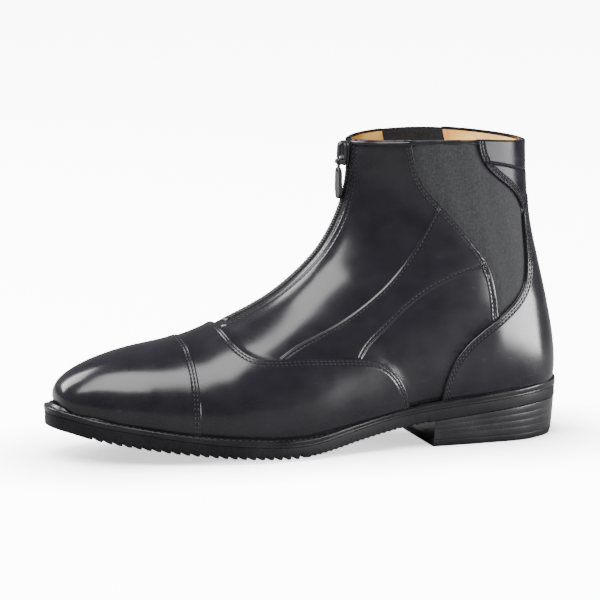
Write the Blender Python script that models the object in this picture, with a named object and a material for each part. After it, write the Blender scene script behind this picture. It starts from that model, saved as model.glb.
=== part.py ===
"""Left paddock boot: a black ankle boot with a front zip and two elastic gussets.

The boot stands on its sole with its toe towards -X, its outer side towards -Y and +Z up.
The origin is on the floor, midway along and across the sole. Sizes are in millimetres, and the
tables measure sideways from the boot's own middle plane.
"""
import math
from typing import Callable, NamedTuple

import bmesh
import bpy
import numpy as np
from mathutils import Matrix, Vector

MM = 0.001

# Driving sizes of the boot
SOLE_LENGTH = 293.0
HALF_LENGTH = SOLE_LENGTH / 2
LEATHER = 2.2            # wall of the upper with its lining
GAP = 0.3                # clearance between neighbouring pieces
TOE_ROUND = 27.0         # radius of the sole's outline at the toe
HEEL_ROUND = 32.0        # radius of the sole's outline at the heel

# How far each overlay stands out from the upper's own surface
VAMP_PROUD = 1.3
CAP_PROUD = 1.9
COUNTER_PROUD = 1.5
PATCH_PROUD = 1.1

# Gusset, zip tape and coil lie a little below the upper's surface
GUSSET_SUNK = 0.3
GUSSET_THICK = 1.5
TAPE_SUNK = 1.0
TAPE_THICK = 0.9
COIL_PROUD = 0.2
ZIP_SLOT = 8.6           # width of the opening that the zip closes
COIL_WIDTH = 4.4
BAND_AHEAD = 9.0         # how far a cutter for the zip reaches in front of the boot's front line
BAND_INSIDE = 12.0       # and how far inside it

# Heel
BREAST_X = 66.0          # front face of the heel
LIFT_THICK = 4.0
HEEL_TAPER = 1.5         # how far the heel narrows from seat to floor
LIFT_STEP = 0.8          # how much narrower the top lift is than the heel block
EDGE_STEP = 0.4          # how far the outsole's edge lies inside the welt's edge
CROWN_START = 0.4        # share of its half width from which the outsole's underside rises
LASTING = 3.4            # width of the welt under the upper's turned edge
INSOLE_RISE = 2.2        # how far the insole stands above the welt

# Tread of the forepart
TOOTH_PITCH = 5.0
TOOTH_DEPTH = 1.9
TOOTH_LAND = 1.5
TOOTH_STEEP = 0.6
TREAD_FRONT = -128.0
TREAD_BACK = -13.0

# Zip slider and its pull
SLIDER_WIDTH = 10.0
SLIDER_FRONT = 19.5
SLIDER_BACK = 25.2
SLIDER_LOW = 154.6
SLIDER_HIGH = 168.4
SLIDER_NOTCH = 5.6
PULL_AXIS_X = 20.4
PULL_AXIS_Z = 156.6
PULL_WIDTH = 7.4
PULL_THICK = 1.4
PULL_LENGTH = 20.6
PULL_NECK = 4.8
PULL_SHOULDER = 3.2      # the wide part of the pull starts this far below its axis
PULL_EYE_DROP = 1.9      # the eye lies this far below the shoulder
PULL_EYE = 2.0
PULL_KNUCKLE = 1.7
PIN_RADIUS = 0.55


class SoleRow(NamedTuple):
    """Side view of the sole at one place along the boot."""

    x: float
    edge: float          # height of the outsole's underside at its edge
    middle: float        # height of the outsole's underside in the middle
    outsole: float       # thickness of the outsole at its edge
    welt: float          # thickness of the welt
    margin: float        # how far the upper's edge lies inside the sole's edge


SOLE = [
    SoleRow(-146.5, 19.6, 19.6, 7.0, 3.5, 5.2),
    SoleRow(-122.0, 13.3, 12.3, 7.9, 3.2, 5.2),
    SoleRow(-98.0, 8.8, 7.2, 8.0, 3.1, 5.0),
    SoleRow(-73.0, 5.5, 3.7, 7.3, 3.3, 4.8),
    SoleRow(-48.0, 3.1, 1.1, 6.9, 3.7, 4.8),
    SoleRow(-31.0, 2.0, 0.0, 6.6, 3.9, 4.6),
    SoleRow(-14.0, 1.6, 0.0, 6.5, 4.0, 4.4),
    SoleRow(-2.0, 2.8, 1.2, 6.4, 3.9, 4.0),
    SoleRow(9.0, 4.8, 3.4, 6.7, 3.7, 3.6),
    SoleRow(20.0, 7.1, 6.1, 6.6, 3.7, 3.2),
    SoleRow(32.0, 9.4, 8.8, 6.7, 3.6, 3.0),
    SoleRow(43.0, 11.4, 11.1, 6.6, 3.7, 2.8),
    SoleRow(54.0, 13.1, 13.1, 6.6, 3.7, 2.8),
    SoleRow(66.0, 14.7, 14.7, 6.4, 3.9, 2.8),
    SoleRow(97.0, 17.6, 17.6, 6.1, 4.2, 2.8),
    SoleRow(122.0, 20.0, 20.0, 6.0, 4.4, 2.8),
    SoleRow(146.5, 21.4, 21.4, 6.0, 4.6, 2.8),
]
FLOOR_FRONT = -31.0      # the middle of the ball rests on the floor from here
FLOOR_BACK = -14.0       # to here


class OutlineRow(NamedTuple):
    """Half widths of the sole, seen from above, at one place along the boot."""

    x: float
    lateral: float
    medial: float


OUTLINE = [
    OutlineRow(-138.5, 16.0, 17.4),
    OutlineRow(-128.5, 24.2, 26.6),
    OutlineRow(-113.5, 31.2, 34.0),
    OutlineRow(-93.5, 37.8, 40.8),
    OutlineRow(-73.5, 43.4, 45.2),
    OutlineRow(-58.5, 46.8, 46.8),
    OutlineRow(-43.5, 49.0, 46.6),
    OutlineRow(-28.5, 49.4, 44.6),
    OutlineRow(-13.5, 47.4, 41.0),
    OutlineRow(6.5, 42.8, 35.2),
    OutlineRow(26.5, 37.8, 30.6),
    OutlineRow(46.5, 34.6, 28.4),
    OutlineRow(70.5, 33.6, 30.0),
    OutlineRow(86.5, 33.2, 31.4),
    OutlineRow(106.5, 32.0, 32.0),
    OutlineRow(126.5, 27.8, 28.0),
    OutlineRow(136.5, 21.2, 21.4),
]


class LastRow(NamedTuple):
    """One section of the upper's outer form, in a plane that holds the Y direction.

    It runs from a front or top point to a back or bottom point. The form is widest at a share of
    the way between them. The powers round it: 2 is an ellipse, more is squarer. A back power of
    0 is worked out so that the form meets the welt at the sole's margin.
    """

    front_x: float
    front_z: float
    back_x: float
    back_z: float
    lateral: float
    medial: float
    widest: float
    front_power: float
    back_power: float


LAST = [
    LastRow(-139.4, 34.5, -139.4, 34.5, 0.0, 0.0, 0.50, 2.0, 2.0),
    LastRow(-138.2, 39.0, -138.5, 29.6, 8.4, 9.2, 0.50, 2.0, 2.0),
    LastRow(-134.6, 43.6, -135.8, 23.4, 14.4, 16.0, 0.52, 2.0, 2.1),
    LastRow(-127.0, 48.5, -128.7, 17.0, 19.8, 22.4, 0.54, 2.0, 2.2),
    LastRow(-114.0, 53.6, -115.5, 12.0, 26.8, 29.8, 0.58, 2.0, 0.0),
    LastRow(-96.0, 58.0, -97.5, 8.5, 33.6, 36.6, 0.62, 2.0, 0.0),
    LastRow(-78.0, 60.9, -78.5, 5.5, 39.0, 41.0, 0.64, 2.0, 0.0),
    LastRow(-60.0, 65.8, -59.0, 3.5, 44.0, 43.8, 0.66, 1.95, 0.0),
    LastRow(-42.0, 73.7, -37.0, 1.5, 46.6, 43.6, 0.66, 1.9, 0.0),
    LastRow(-24.5, 82.2, -10.0, 0.6, 45.6, 40.8, 0.66, 1.9, 0.0),
    LastRow(-9.5, 92.3, 24.0, 7.0, 40.6, 37.6, 0.64, 1.9, 0.0),
    LastRow(4.4, 105.0, 64.0, 14.0, 35.6, 35.4, 0.60, 1.95, 0.0),
    LastRow(13.0, 116.5, 104.0, 16.0, 33.8, 34.2, 0.56, 2.0, 3.3),
    LastRow(18.2, 126.5, 136.5, 21.0, 32.8, 33.2, 0.54, 2.05, 2.9),
    LastRow(21.4, 134.5, 143.8, 45.0, 31.8, 32.2, 0.53, 2.1, 2.45),
    LastRow(23.6, 142.5, 140.5, 70.0, 30.8, 31.0, 0.52, 2.1, 2.3),
    LastRow(24.9, 150.5, 134.4, 97.0, 30.2, 30.2, 0.52, 2.1, 2.3),
    LastRow(25.5, 158.5, 128.8, 123.0, 30.2, 30.2, 0.52, 2.1, 2.3),
    LastRow(25.9, 166.5, 126.8, 149.0, 30.8, 30.8, 0.52, 2.1, 2.3),
    LastRow(26.1, 175.0, 126.4, 171.0, 31.4, 31.4, 0.52, 2.1, 2.3),
    LastRow(26.2, 186.0, 126.4, 186.0, 31.8, 31.8, 0.52, 2.1, 2.3),
]
ROWS_BETWEEN = 2         # mesh rows for each row of the table
SIDE_COLUMNS = 11        # mesh columns from the front point to the back point, on each side
OUTER_STEPS = 34         # stations along the sole's edge
INNER_STEPS = 24         # stations along the welt's inner edge and the insole


class SidePoint(NamedTuple):
    """A point of a panel's edge in side view."""

    x: float
    z: float


COLLAR = [SidePoint(-10, 168.6), SidePoint(25, 169.6), SidePoint(50, 170.6), SidePoint(92, 169.8),
          SidePoint(128, 166.2), SidePoint(160, 163.0)]
CAP_EDGE_X = -69.8       # the toe cap ends on a plane across the boot
VAMP_EDGE = [SidePoint(-56, 85), SidePoint(-51, 71.5), SidePoint(-46.5, 62.4), SidePoint(-41, 57.6),
             SidePoint(-33, 55.2), SidePoint(-19, 54.9), SidePoint(2, 54.2), SidePoint(22, 52.9),
             SidePoint(33, 50.2), SidePoint(42.2, 43.2), SidePoint(47.3, 35), SidePoint(51, 24),
             SidePoint(53, 5)]
GUSSET_FRONT = [SidePoint(48, 190), SidePoint(53, 170.3), SidePoint(55.4, 157), SidePoint(60, 145.3),
                SidePoint(69.3, 134.4), SidePoint(84.8, 117), SidePoint(97.2, 100.3),
                SidePoint(101.8, 85.4), SidePoint(103, 70)]
GUSSET_BACK = [SidePoint(89.5, 190), SidePoint(90.6, 170), SidePoint(92.2, 161.4),
               SidePoint(98, 152.6), SidePoint(109, 143.6), SidePoint(117.4, 135.4),
               SidePoint(121.4, 128)]
COUNTER_BACK = [SidePoint(121.4, 128), SidePoint(122.2, 111), SidePoint(122.2, 96),
                SidePoint(120.2, 86.4), SidePoint(114.4, 79), SidePoint(103, 70)]
COUNTER_FRONT = [SidePoint(103, 70), SidePoint(89, 60.5), SidePoint(77.6, 48.6),
                 SidePoint(72.4, 38), SidePoint(70.2, 25.7), SidePoint(69.5, 5)]
STRAP_TOP = [SidePoint(121.4, 128), SidePoint(127, 137), SidePoint(165, 141)]
ZIP_LOW_X = -46.0        # lower end of the zip on the instep


def natural_spline(at: list[float], values: list[float]) -> Callable[[float], float]:
    """Return a smooth cubic curve through the given values."""
    knots = np.array(at, float)
    heights = np.array(values, float)
    step = np.diff(knots)
    slope = np.diff(heights) / step
    count = len(knots)
    matrix = np.eye(count)
    right = np.zeros(count)
    for i in range(1, count - 1):
        matrix[i, i - 1] = step[i - 1]
        matrix[i, i] = 2 * (step[i - 1] + step[i])
        matrix[i, i + 1] = step[i]
        right[i] = 6 * (slope[i] - slope[i - 1])
    bend = np.linalg.solve(matrix, right)

    def curve(position: float) -> float:
        i = int(np.clip(np.searchsorted(knots, position) - 1, 0, count - 2))
        ahead = knots[i + 1] - position
        behind = position - knots[i]
        cubic = (bend[i] * ahead ** 3 + bend[i + 1] * behind ** 3) / (6 * step[i])
        left = (heights[i] / step[i] - bend[i] * step[i] / 6) * ahead
        return float(cubic + left + (heights[i + 1] / step[i] - bend[i + 1] * step[i] / 6) * behind)

    return curve


SOLE_X = [row.x for row in SOLE]
edge_at = natural_spline(SOLE_X, [row.edge for row in SOLE])
middle_at = natural_spline(SOLE_X, [row.middle for row in SOLE])
outsole_at = natural_spline(SOLE_X, [row.outsole for row in SOLE])
welt_at = natural_spline(SOLE_X, [row.welt for row in SOLE])
margin_at = natural_spline(SOLE_X, [row.margin for row in SOLE])


def ground_at(x: float) -> float:
    """Height of the outsole's underside in the middle: flat at the ball of the foot."""
    on_floor = FLOOR_FRONT <= x <= FLOOR_BACK
    return 0.0 if on_floor else max(middle_at(x), 0.0)


def joint_at(x: float) -> float:
    """Height of the outsole's top, where the welt lies on it."""
    return edge_at(x) + outsole_at(x)


def feather_at(x: float) -> float:
    """Height of the welt's top, where the upper meets it."""
    return joint_at(x) + welt_at(x)


def fullness(x: float) -> float:
    """Half width of an ellipse of the sole's length and of half width 1."""
    return math.sqrt(max(1 - (x / HALF_LENGTH) ** 2, 1e-9))


def outline_curve(side: str) -> Callable[[float], float]:
    """Return the sole's half width on one side; the ends close on round arcs."""
    at = [-HALF_LENGTH] + [row.x for row in OUTLINE] + [HALF_LENGTH]
    inner = [getattr(row, side) / fullness(row.x) for row in OUTLINE]
    ends = [math.sqrt(radius * HALF_LENGTH) for radius in (TOE_ROUND, HEEL_ROUND)]
    curve = natural_spline(at, [ends[0]] + inner + [ends[1]])
    return lambda x: curve(x) * fullness(x)


lateral_at = outline_curve("lateral")
medial_at = outline_curve("medial")


class Station(NamedTuple):
    """The outline's two edge points at one place along the boot."""

    x: float
    lateral: float
    medial: float


def outline_stations(inset: Callable[[float], float], places: list[float]) -> list[Station]:
    """Stations of the sole's outline moved inwards, at the given places along the boot."""
    angles = np.linspace(0.0005, math.pi - 0.0005, 500)
    along = -HALF_LENGTH * np.cos(angles)
    amount = np.array([inset(x) for x in along])
    edges = []
    for width_at in (lateral_at, medial_at):
        across = np.array([width_at(x) for x in along])
        dx = np.gradient(along)
        dy = np.gradient(across)
        length = np.hypot(dx, dy)
        edges.append((along + dy / length * amount, across - dx / length * amount))
    low = -HALF_LENGTH + inset(-HALF_LENGTH)
    high = HALF_LENGTH - inset(HALF_LENGTH)
    stations = []
    for x in places:
        inside = low + 0.01 < x < high - 0.01
        widths = [max(float(np.interp(x, *edge)), 0.0) if inside else 0.0 for edge in edges]
        stations.append(Station(min(max(x, low), high), *widths))
    return stations


def even_places(inset: Callable[[float], float], count: int) -> list[float]:
    """Places along the outline that crowd towards both ends, so that the ends look round."""
    low = -HALF_LENGTH + inset(-HALF_LENGTH)
    high = HALF_LENGTH - inset(HALF_LENGTH)
    shares = [(1 - math.cos(math.pi * i / count)) / 2 for i in range(count + 1)]
    return [low + (high - low) * share for share in shares]


EDGE_STATIONS = outline_stations(lambda x: 0.0, even_places(lambda x: 0.0, OUTER_STEPS))
SIDE_SHIFT = (max(s.lateral for s in EDGE_STATIONS) - max(s.medial for s in EDGE_STATIONS)) / 2


def new_object(name: str, bm: bmesh.types.BMesh) -> bpy.types.Object:
    """Turn a mesh in millimetres into an object in metres, with its faces pointing out."""
    bmesh.ops.translate(bm, vec=Vector((0, SIDE_SHIFT, 0)), verts=bm.verts)
    bmesh.ops.remove_doubles(bm, verts=bm.verts, dist=0.0005)
    bmesh.ops.recalc_face_normals(bm, faces=bm.faces)
    bmesh.ops.scale(bm, vec=Vector((MM, MM, MM)), verts=bm.verts)
    mesh = bpy.data.meshes.new(name)
    bm.to_mesh(mesh)
    bm.free()
    obj = bpy.data.objects.new(name, mesh)
    bpy.context.scene.collection.objects.link(obj)
    return obj


def as_cutter(obj: bpy.types.Object) -> bpy.types.Object:
    """Mark an object as a cutter, which isn't part of the boot."""
    obj.hide_render = True
    obj.display_type = 'WIRE'
    return obj


def cut(obj: bpy.types.Object, operation: str, *cutters: bpy.types.Object) -> bpy.types.Object:
    """Add one Boolean for each cutter: DIFFERENCE, INTERSECT or UNION."""
    for cutter in cutters:
        modifier = obj.modifiers.new(f"{operation.lower()}_{cutter.name}", 'BOOLEAN')
        modifier.operation = operation
        modifier.solver = 'EXACT'
        modifier.object = cutter
    return obj


def skin(bm: bmesh.types.BMesh, rings: list[list[bmesh.types.BMVert]], closed: bool) -> None:
    """Join neighbouring rings of vertices with faces."""
    for first, second in zip(rings, rings[1:]):
        count = len(first)
        for i in range(count if closed else count - 1):
            j = (i + 1) % count
            corners = [first[i], first[j], second[j], second[i]]
            unique = list(dict.fromkeys(corners))
            if len(unique) > 2:
                bm.faces.new(unique)


def slab(name: str, stations: list[Station], low: Callable[[float], float],
         high: Callable[[float], float]) -> bpy.types.Object:
    """A plate with the sole's outline, curved only along the boot."""
    bm = bmesh.new()
    rings = []
    for station in stations:
        corners = [(-station.lateral, low), (station.medial, low), (station.medial, high),
                   (-station.lateral, high)]
        rings.append([bm.verts.new((station.x, y, level(station.x))) for y, level in corners])
    skin(bm, rings, closed=True)
    for end in (rings[0], rings[-1]):
        if abs(end[0].co.y - end[1].co.y) > 0.01:
            bm.faces.new(end)
    return new_object(name, bm)


def side_line(points: list[SidePoint], per_span: int = 3) -> list[SidePoint]:
    """A smooth line through points in side view."""
    lengths = [0.0]
    for first, second in zip(points, points[1:]):
        lengths.append(lengths[-1] + math.dist(first, second))
    curve_x = natural_spline(lengths, [p.x for p in points])
    curve_z = natural_spline(lengths, [p.z for p in points])
    line = []
    for start, end in zip(lengths, lengths[1:]):
        for step in range(per_span):
            place = start + (end - start) * step / per_span
            line.append(SidePoint(curve_x(place), curve_z(place)))
    return line + [points[-1]]


def prism(name: str, outline: list[SidePoint], low_y: float, high_y: float) -> bpy.types.Object:
    """A cutter with an outline in side view, running across the boot."""
    bm = bmesh.new()
    near = [bm.verts.new((p.x, low_y, p.z)) for p in outline]
    far = [bm.verts.new((p.x, high_y, p.z)) for p in outline]
    skin(bm, [near, far], closed=True)
    bm.faces.new(near)
    bm.faces.new(far)
    return as_cutter(new_object(name, bm))


def feather_power(row: LastRow, width: float, half_width_at: Callable[[float], float]) -> float:
    """Back power with which a section meets the welt at the sole's margin."""
    chord = math.hypot(row.back_x - row.front_x, row.back_z - row.front_z)
    shares = np.linspace(row.widest, 1.0, 200)
    heights = [row.front_z + (row.back_z - row.front_z) * s for s in shares]
    places = [row.front_x + (row.back_x - row.front_x) * s for s in shares]
    above = [h - feather_at(x) for h, x in zip(heights, places)]
    crossing = int(np.argmin(np.abs(above)))
    depth = (shares[crossing] - row.widest) * chord / ((1 - row.widest) * chord)
    across = min((half_width_at(places[crossing]) - margin_at(places[crossing])) / width, 0.985)
    low, high = 1.4, 6.0
    for _ in range(40):
        middle = (low + high) / 2
        if depth ** middle + across ** middle > 1:
            low = middle
        else:
            high = middle
    return middle


def half_section(row: LastRow, width: float, back_power: float) -> list[tuple[float, float]]:
    """Points of one side of a section, as share of the chord and half width, evenly spaced."""
    chord = max(math.hypot(row.back_x - row.front_x, row.back_z - row.front_z), 1e-6)
    turn = np.linspace(0, math.pi / 2, 60)
    front = row.widest * (1 - np.cos(turn) ** (2 / row.front_power))
    front_width = width * np.sin(turn) ** (2 / row.front_power)
    back = row.widest + (1 - row.widest) * np.sin(turn) ** (2 / back_power)
    back_width = width * np.cos(turn) ** (2 / back_power)
    share = np.concatenate([front, back[1:]])
    across = np.concatenate([front_width, back_width[1:]])
    steps = np.hypot(np.diff(share) * chord, np.diff(across))
    path = np.concatenate([[0], np.cumsum(steps)])
    even = np.linspace(0, path[-1], SIDE_COLUMNS + 1)
    return list(zip(np.interp(even, path, share), np.interp(even, path, across)))


def last_columns() -> list[list[float]]:
    """The table's rows as columns for the splines, with the worked out back powers."""
    columns = []
    for row in LAST:
        powers = [row.back_power, row.back_power]
        if row.back_power == 0.0:
            powers = [feather_power(row, row.lateral, lateral_at),
                      feather_power(row, row.medial, medial_at)]
        columns.append(list(row[:8]) + powers)
    pole, first = columns[0], columns[1]
    mirrored = [first[2], 2 * pole[3] - first[1], first[0], 2 * pole[1] - first[3], -first[4],
                -first[5]] + first[6:]
    return [mirrored] + columns


LAST_COLUMNS = last_columns()
LAST_CURVES = [natural_spline(list(range(-1, len(LAST))), list(column))
               for column in zip(*LAST_COLUMNS)]


def last_ring(place: float) -> list[tuple[float, float, float]]:
    """One closed section of the form at a place counted in rows of the table."""
    values = [curve(place) for curve in LAST_CURVES]
    row = LastRow(*values[:8], 2.0)
    lateral = half_section(row, row.lateral, values[8])
    medial = half_section(row, row.medial, values[9])

    def point(share: float, across: float) -> tuple[float, float, float]:
        return (row.front_x + (row.back_x - row.front_x) * share, across,
                row.front_z + (row.back_z - row.front_z) * share)

    near = [point(share, -across) for share, across in lateral]
    far = [point(share, across) for share, across in medial[1:-1]]
    return near + far[::-1]


def form(name: str, offset: float) -> bpy.types.Object:
    """The closed form of the boot above its sole, grown or shrunk along its normals."""
    bm = bmesh.new()
    pole = LAST[0]
    tip = bm.verts.new((pole.front_x, 0, pole.front_z))
    around = 2 * SIDE_COLUMNS
    rings = [[tip] * around]
    for i in range(1, (len(LAST) - 1) * ROWS_BETWEEN + 1):
        rings.append([bm.verts.new(point) for point in last_ring(i / ROWS_BETWEEN)])
    skin(bm, rings, closed=True)
    bm.faces.new(rings[-1])
    bmesh.ops.triangulate(bm, faces=bm.faces, quad_method='FIXED')
    bmesh.ops.recalc_face_normals(bm, faces=bm.faces)
    bm.normal_update()
    moves = [(vert, vert.normal * offset) for vert in bm.verts]
    for vert, move in moves:
        vert.co += move
    return new_object(name, bm)


def front_band(name: str, half_width: float, low_x: float) -> bpy.types.Object:
    """A cutter that follows the boot's front line upwards from a place on the instep."""
    outer, inner = [], []
    last = len(LAST) - 1
    for i in range(last * ROWS_BETWEEN + 1):
        row = LastRow(*[curve(i / ROWS_BETWEEN) for curve in LAST_CURVES][:9])
        if row.front_x < low_x - 6:
            continue
        back = Vector((row.back_x - row.front_x, row.back_z - row.front_z)).normalized()
        outer.append(SidePoint(row.front_x - BAND_AHEAD * back.x,
                               row.front_z - BAND_AHEAD * back.y))
        inner.append(SidePoint(row.front_x + BAND_INSIDE * back.x,
                               row.front_z + BAND_INSIDE * back.y))
    band = prism(name, outer + inner[::-1], -half_width, half_width)
    ahead = box(f"{name}_end", (-120, -20, 0), (low_x, 20, 120))
    return cut(band, 'DIFFERENCE', as_cutter(ahead))


def front_point(place: float) -> tuple[Vector, Vector]:
    """A point of the boot's front line in side view, and the outward direction there."""
    step = 0.02
    here = Vector((LAST_CURVES[0](place), LAST_CURVES[1](place)))
    ahead = Vector((LAST_CURVES[0](place + step), LAST_CURVES[1](place + step)))
    along = (ahead - here).normalized()
    return here, Vector((-along.y, along.x))


def box(name: str, low: tuple[float, float, float], high: tuple[float, float, float]
        ) -> bpy.types.Object:
    """A block between two corners."""
    bm = bmesh.new()
    middle = (Vector(low) + Vector(high)) / 2
    size = Vector(high) - Vector(low)
    bmesh.ops.create_cube(bm, size=1.0, matrix=Matrix.Translation(middle) @ Matrix.Diagonal((*size, 1)))
    return new_object(name, bm)


def bar(name: str, x: float, z: float, radius: float, length: float, sides: int,
        axis: str = 'Y') -> bpy.types.Object:
    """A round bar in the middle of the boot, along Y or X."""
    bm = bmesh.new()
    turn = Matrix.Rotation(math.pi / 2, 4, 'X' if axis == 'Y' else 'Y')
    bmesh.ops.create_cone(bm, cap_ends=True, segments=sides, radius1=radius, radius2=radius,
                          depth=length, matrix=Matrix.Translation((x, 0, z)) @ turn)
    return new_object(name, bm)


def finish(obj: bpy.types.Object, colour: tuple[float, float, float], roughness: float,
           metallic: float = 0.0) -> bpy.types.Object:
    """Give a piece its own plain material and smooth shading."""
    material = bpy.data.materials.new(f"{obj.name}_finish")
    material.use_nodes = True
    shader = material.node_tree.nodes["Principled BSDF"]
    shader.inputs["Base Color"].default_value = (*colour, 1)
    shader.inputs["Roughness"].default_value = roughness
    shader.inputs["Metallic"].default_value = metallic
    obj.data.materials.append(material)
    obj.data.shade_smooth()
    obj.data.set_sharp_from_angle(angle=math.radians(35))
    return obj


BLACK_LEATHER = ((0.016, 0.015, 0.018), 0.28)
SHINY_LEATHER = ((0.02, 0.018, 0.024), 0.2)
ELASTIC = ((0.045, 0.045, 0.05), 0.8)
TAN_LEATHER = ((0.55, 0.3, 0.08), 0.6)
BLACK_RUBBER = ((0.02, 0.019, 0.021), 0.45)
BLACK_TAPE = ((0.02, 0.02, 0.022), 0.85)
BLACK_METAL = ((0.02, 0.02, 0.022), 0.3, 0.6)


def grown(outline: list[SidePoint], amount: float) -> list[SidePoint]:
    """A closed outline in side view moved inwards by an amount, or outwards if it is negative."""
    count = len(outline)
    area = sum(outline[i].x * outline[(i + 1) % count].z - outline[(i + 1) % count].x * outline[i].z
               for i in range(count))
    turn = 1 if area > 0 else -1
    moved = []
    for i, point in enumerate(outline):
        before = Vector(point) - Vector(outline[i - 1])
        after = Vector(outline[(i + 1) % count]) - Vector(point)
        along = (before.normalized() + after.normalized()).normalized()
        square = max(along.dot(before.normalized()), 0.5)
        inward = Vector((-along.y, along.x)) * turn
        moved.append(SidePoint(*(Vector(point) + inward * (amount / square))))
    return moved


GUSSET_OUTLINE = side_line(GUSSET_FRONT, 2) + side_line(COUNTER_BACK[::-1], 2)[1:-1] \
    + side_line(GUSSET_BACK[::-1], 2)
COUNTER_OUTLINE = side_line(COUNTER_BACK, 2) + side_line(COUNTER_FRONT, 2)[1:] \
    + [SidePoint(175, 5), SidePoint(175, 142)] + STRAP_TOP[-1:0:-1]
PATCH_OUTLINE = side_line(GUSSET_BACK, 2) + STRAP_TOP[1:] + [SidePoint(165, 190)]
VAMP_OUTLINE = side_line(VAMP_EDGE, 2) + [SidePoint(CAP_EDGE_X + GAP, 5),
                                          SidePoint(CAP_EDGE_X + GAP, 85)]
WIDE = 90.0              # half width of a cutter that runs right across the boot


def make_trimmers() -> dict[str, bpy.types.Object]:
    """The cutters that end the upper at the welt and at the collar."""
    steps = [-160 + 320 * i / 40 for i in range(41)]
    feather = [SidePoint(x, feather_at(min(max(x, -HALF_LENGTH), HALF_LENGTH)) + GAP) for x in steps]
    ground = [SidePoint(steps[-1], -60), SidePoint(steps[0], -60)]
    sky = [SidePoint(COLLAR[-1].x, 230), SidePoint(COLLAR[0].x, 230)]
    return {"welt": prism("below_the_welt", feather + ground, -WIDE, WIDE),
            "collar": prism("above_the_collar", side_line(COLLAR) + sky, -WIDE, WIDE)}


def make_upper(trim: dict[str, bpy.types.Object]) -> bpy.types.Object:
    """The hollow upper: quarters and shaft with their lining, open above, below and in front."""
    upper = form("upper", 0.0)
    cavity = as_cutter(form("cavity", -LEATHER))
    gussets = prism("gusset_openings", GUSSET_OUTLINE, -WIDE, WIDE)
    slot = front_band("zip_opening", ZIP_SLOT / 2, ZIP_LOW_X)
    cut(upper, 'DIFFERENCE', cavity, trim["welt"], trim["collar"], gussets, slot)
    return finish(upper, *BLACK_LEATHER)


def make_overlay(name: str, proud: float, region: bpy.types.Object, under: bpy.types.Object,
                 *ends: bpy.types.Object) -> bpy.types.Object:
    """A panel that lies on the upper, cut between two larger forms of it."""
    panel = form(name, proud)
    cut(panel, 'DIFFERENCE', under)
    cut(panel, 'INTERSECT', region)
    return cut(panel, 'DIFFERENCE', *ends)


def make_panels(trim: dict[str, bpy.types.Object]) -> None:
    """The leather overlays: vamp, toe cap, heel counter and collar patch."""
    under = as_cutter(form("upper_and_gap", GAP))
    cap_region = as_cutter(box("cap_region", (-170, -WIDE, 5), (CAP_EDGE_X, WIDE, 90)))
    vamp_region = prism("vamp_region", VAMP_OUTLINE, -WIDE, WIDE)
    counter_region = prism("counter_region", COUNTER_OUTLINE, -WIDE, WIDE)
    patch_region = prism("patch_region", grown(PATCH_OUTLINE, GAP), -WIDE, WIDE)
    finish(make_overlay("toe_cap", CAP_PROUD, cap_region, under, trim["welt"]), *BLACK_LEATHER)
    finish(make_overlay("vamp", VAMP_PROUD, vamp_region, under, trim["welt"]), *BLACK_LEATHER)
    finish(make_overlay("heel_counter", COUNTER_PROUD, counter_region, under, trim["welt"]),
           *BLACK_LEATHER)
    finish(make_overlay("collar_patch", PATCH_PROUD, patch_region, under, trim["collar"]),
           *SHINY_LEATHER)


def make_gussets(trim: dict[str, bpy.types.Object]) -> None:
    """An elastic panel in each of the upper's side openings."""
    inner = as_cutter(form("gusset_back_face", -GUSSET_SUNK - GUSSET_THICK))
    outline = grown(GUSSET_OUTLINE, GAP)
    for name, low_y, high_y in (("gusset_lateral", -WIDE, -2.0), ("gusset_medial", 2.0, WIDE)):
        region = prism(f"{name}_region", outline, low_y, high_y)
        panel = cut(form(name, -GUSSET_SUNK), 'DIFFERENCE', inner)
        cut(panel, 'INTERSECT', region)
        finish(cut(panel, 'DIFFERENCE', trim["collar"]), *ELASTIC)


def make_zip_tape(trim: dict[str, bpy.types.Object]) -> bpy.types.Object:
    """The tape that fills the front opening, a little below the leather."""
    inner = as_cutter(form("tape_back_face", -TAPE_SUNK - TAPE_THICK))
    region = front_band("tape_region", ZIP_SLOT / 2 - GAP, ZIP_LOW_X + GAP)
    tape = cut(form("zip_tape", -TAPE_SUNK), 'DIFFERENCE', inner)
    cut(tape, 'INTERSECT', region)
    return finish(cut(tape, 'DIFFERENCE', trim["collar"]), *BLACK_TAPE)


def make_zip_coil() -> bpy.types.Object:
    """The closed teeth, as one bead along the tape."""
    half = COIL_WIDTH / 2
    low = -TAPE_SUNK + GAP + 0.05
    section = [(-half, low), (half, low), (half, 0), (half * 0.6, COIL_PROUD),
               (-half * 0.6, COIL_PROUD), (-half, 0)]
    places = [i / 4 for i in range(4 * len(LAST))]
    bm = bmesh.new()
    rings = []
    for place in places:
        here, out = front_point(place)
        if here.x > ZIP_LOW_X + 1.5 and here.y < SLIDER_LOW - 1.0:
            rings.append([bm.verts.new((here.x + out.x * up, y, here.y + out.y * up))
                          for y, up in section])
    skin(bm, rings, closed=True)
    bm.faces.new(rings[0])
    bm.faces.new(rings[-1])
    return finish(new_object("zip_coil", bm), *BLACK_METAL)


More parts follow.
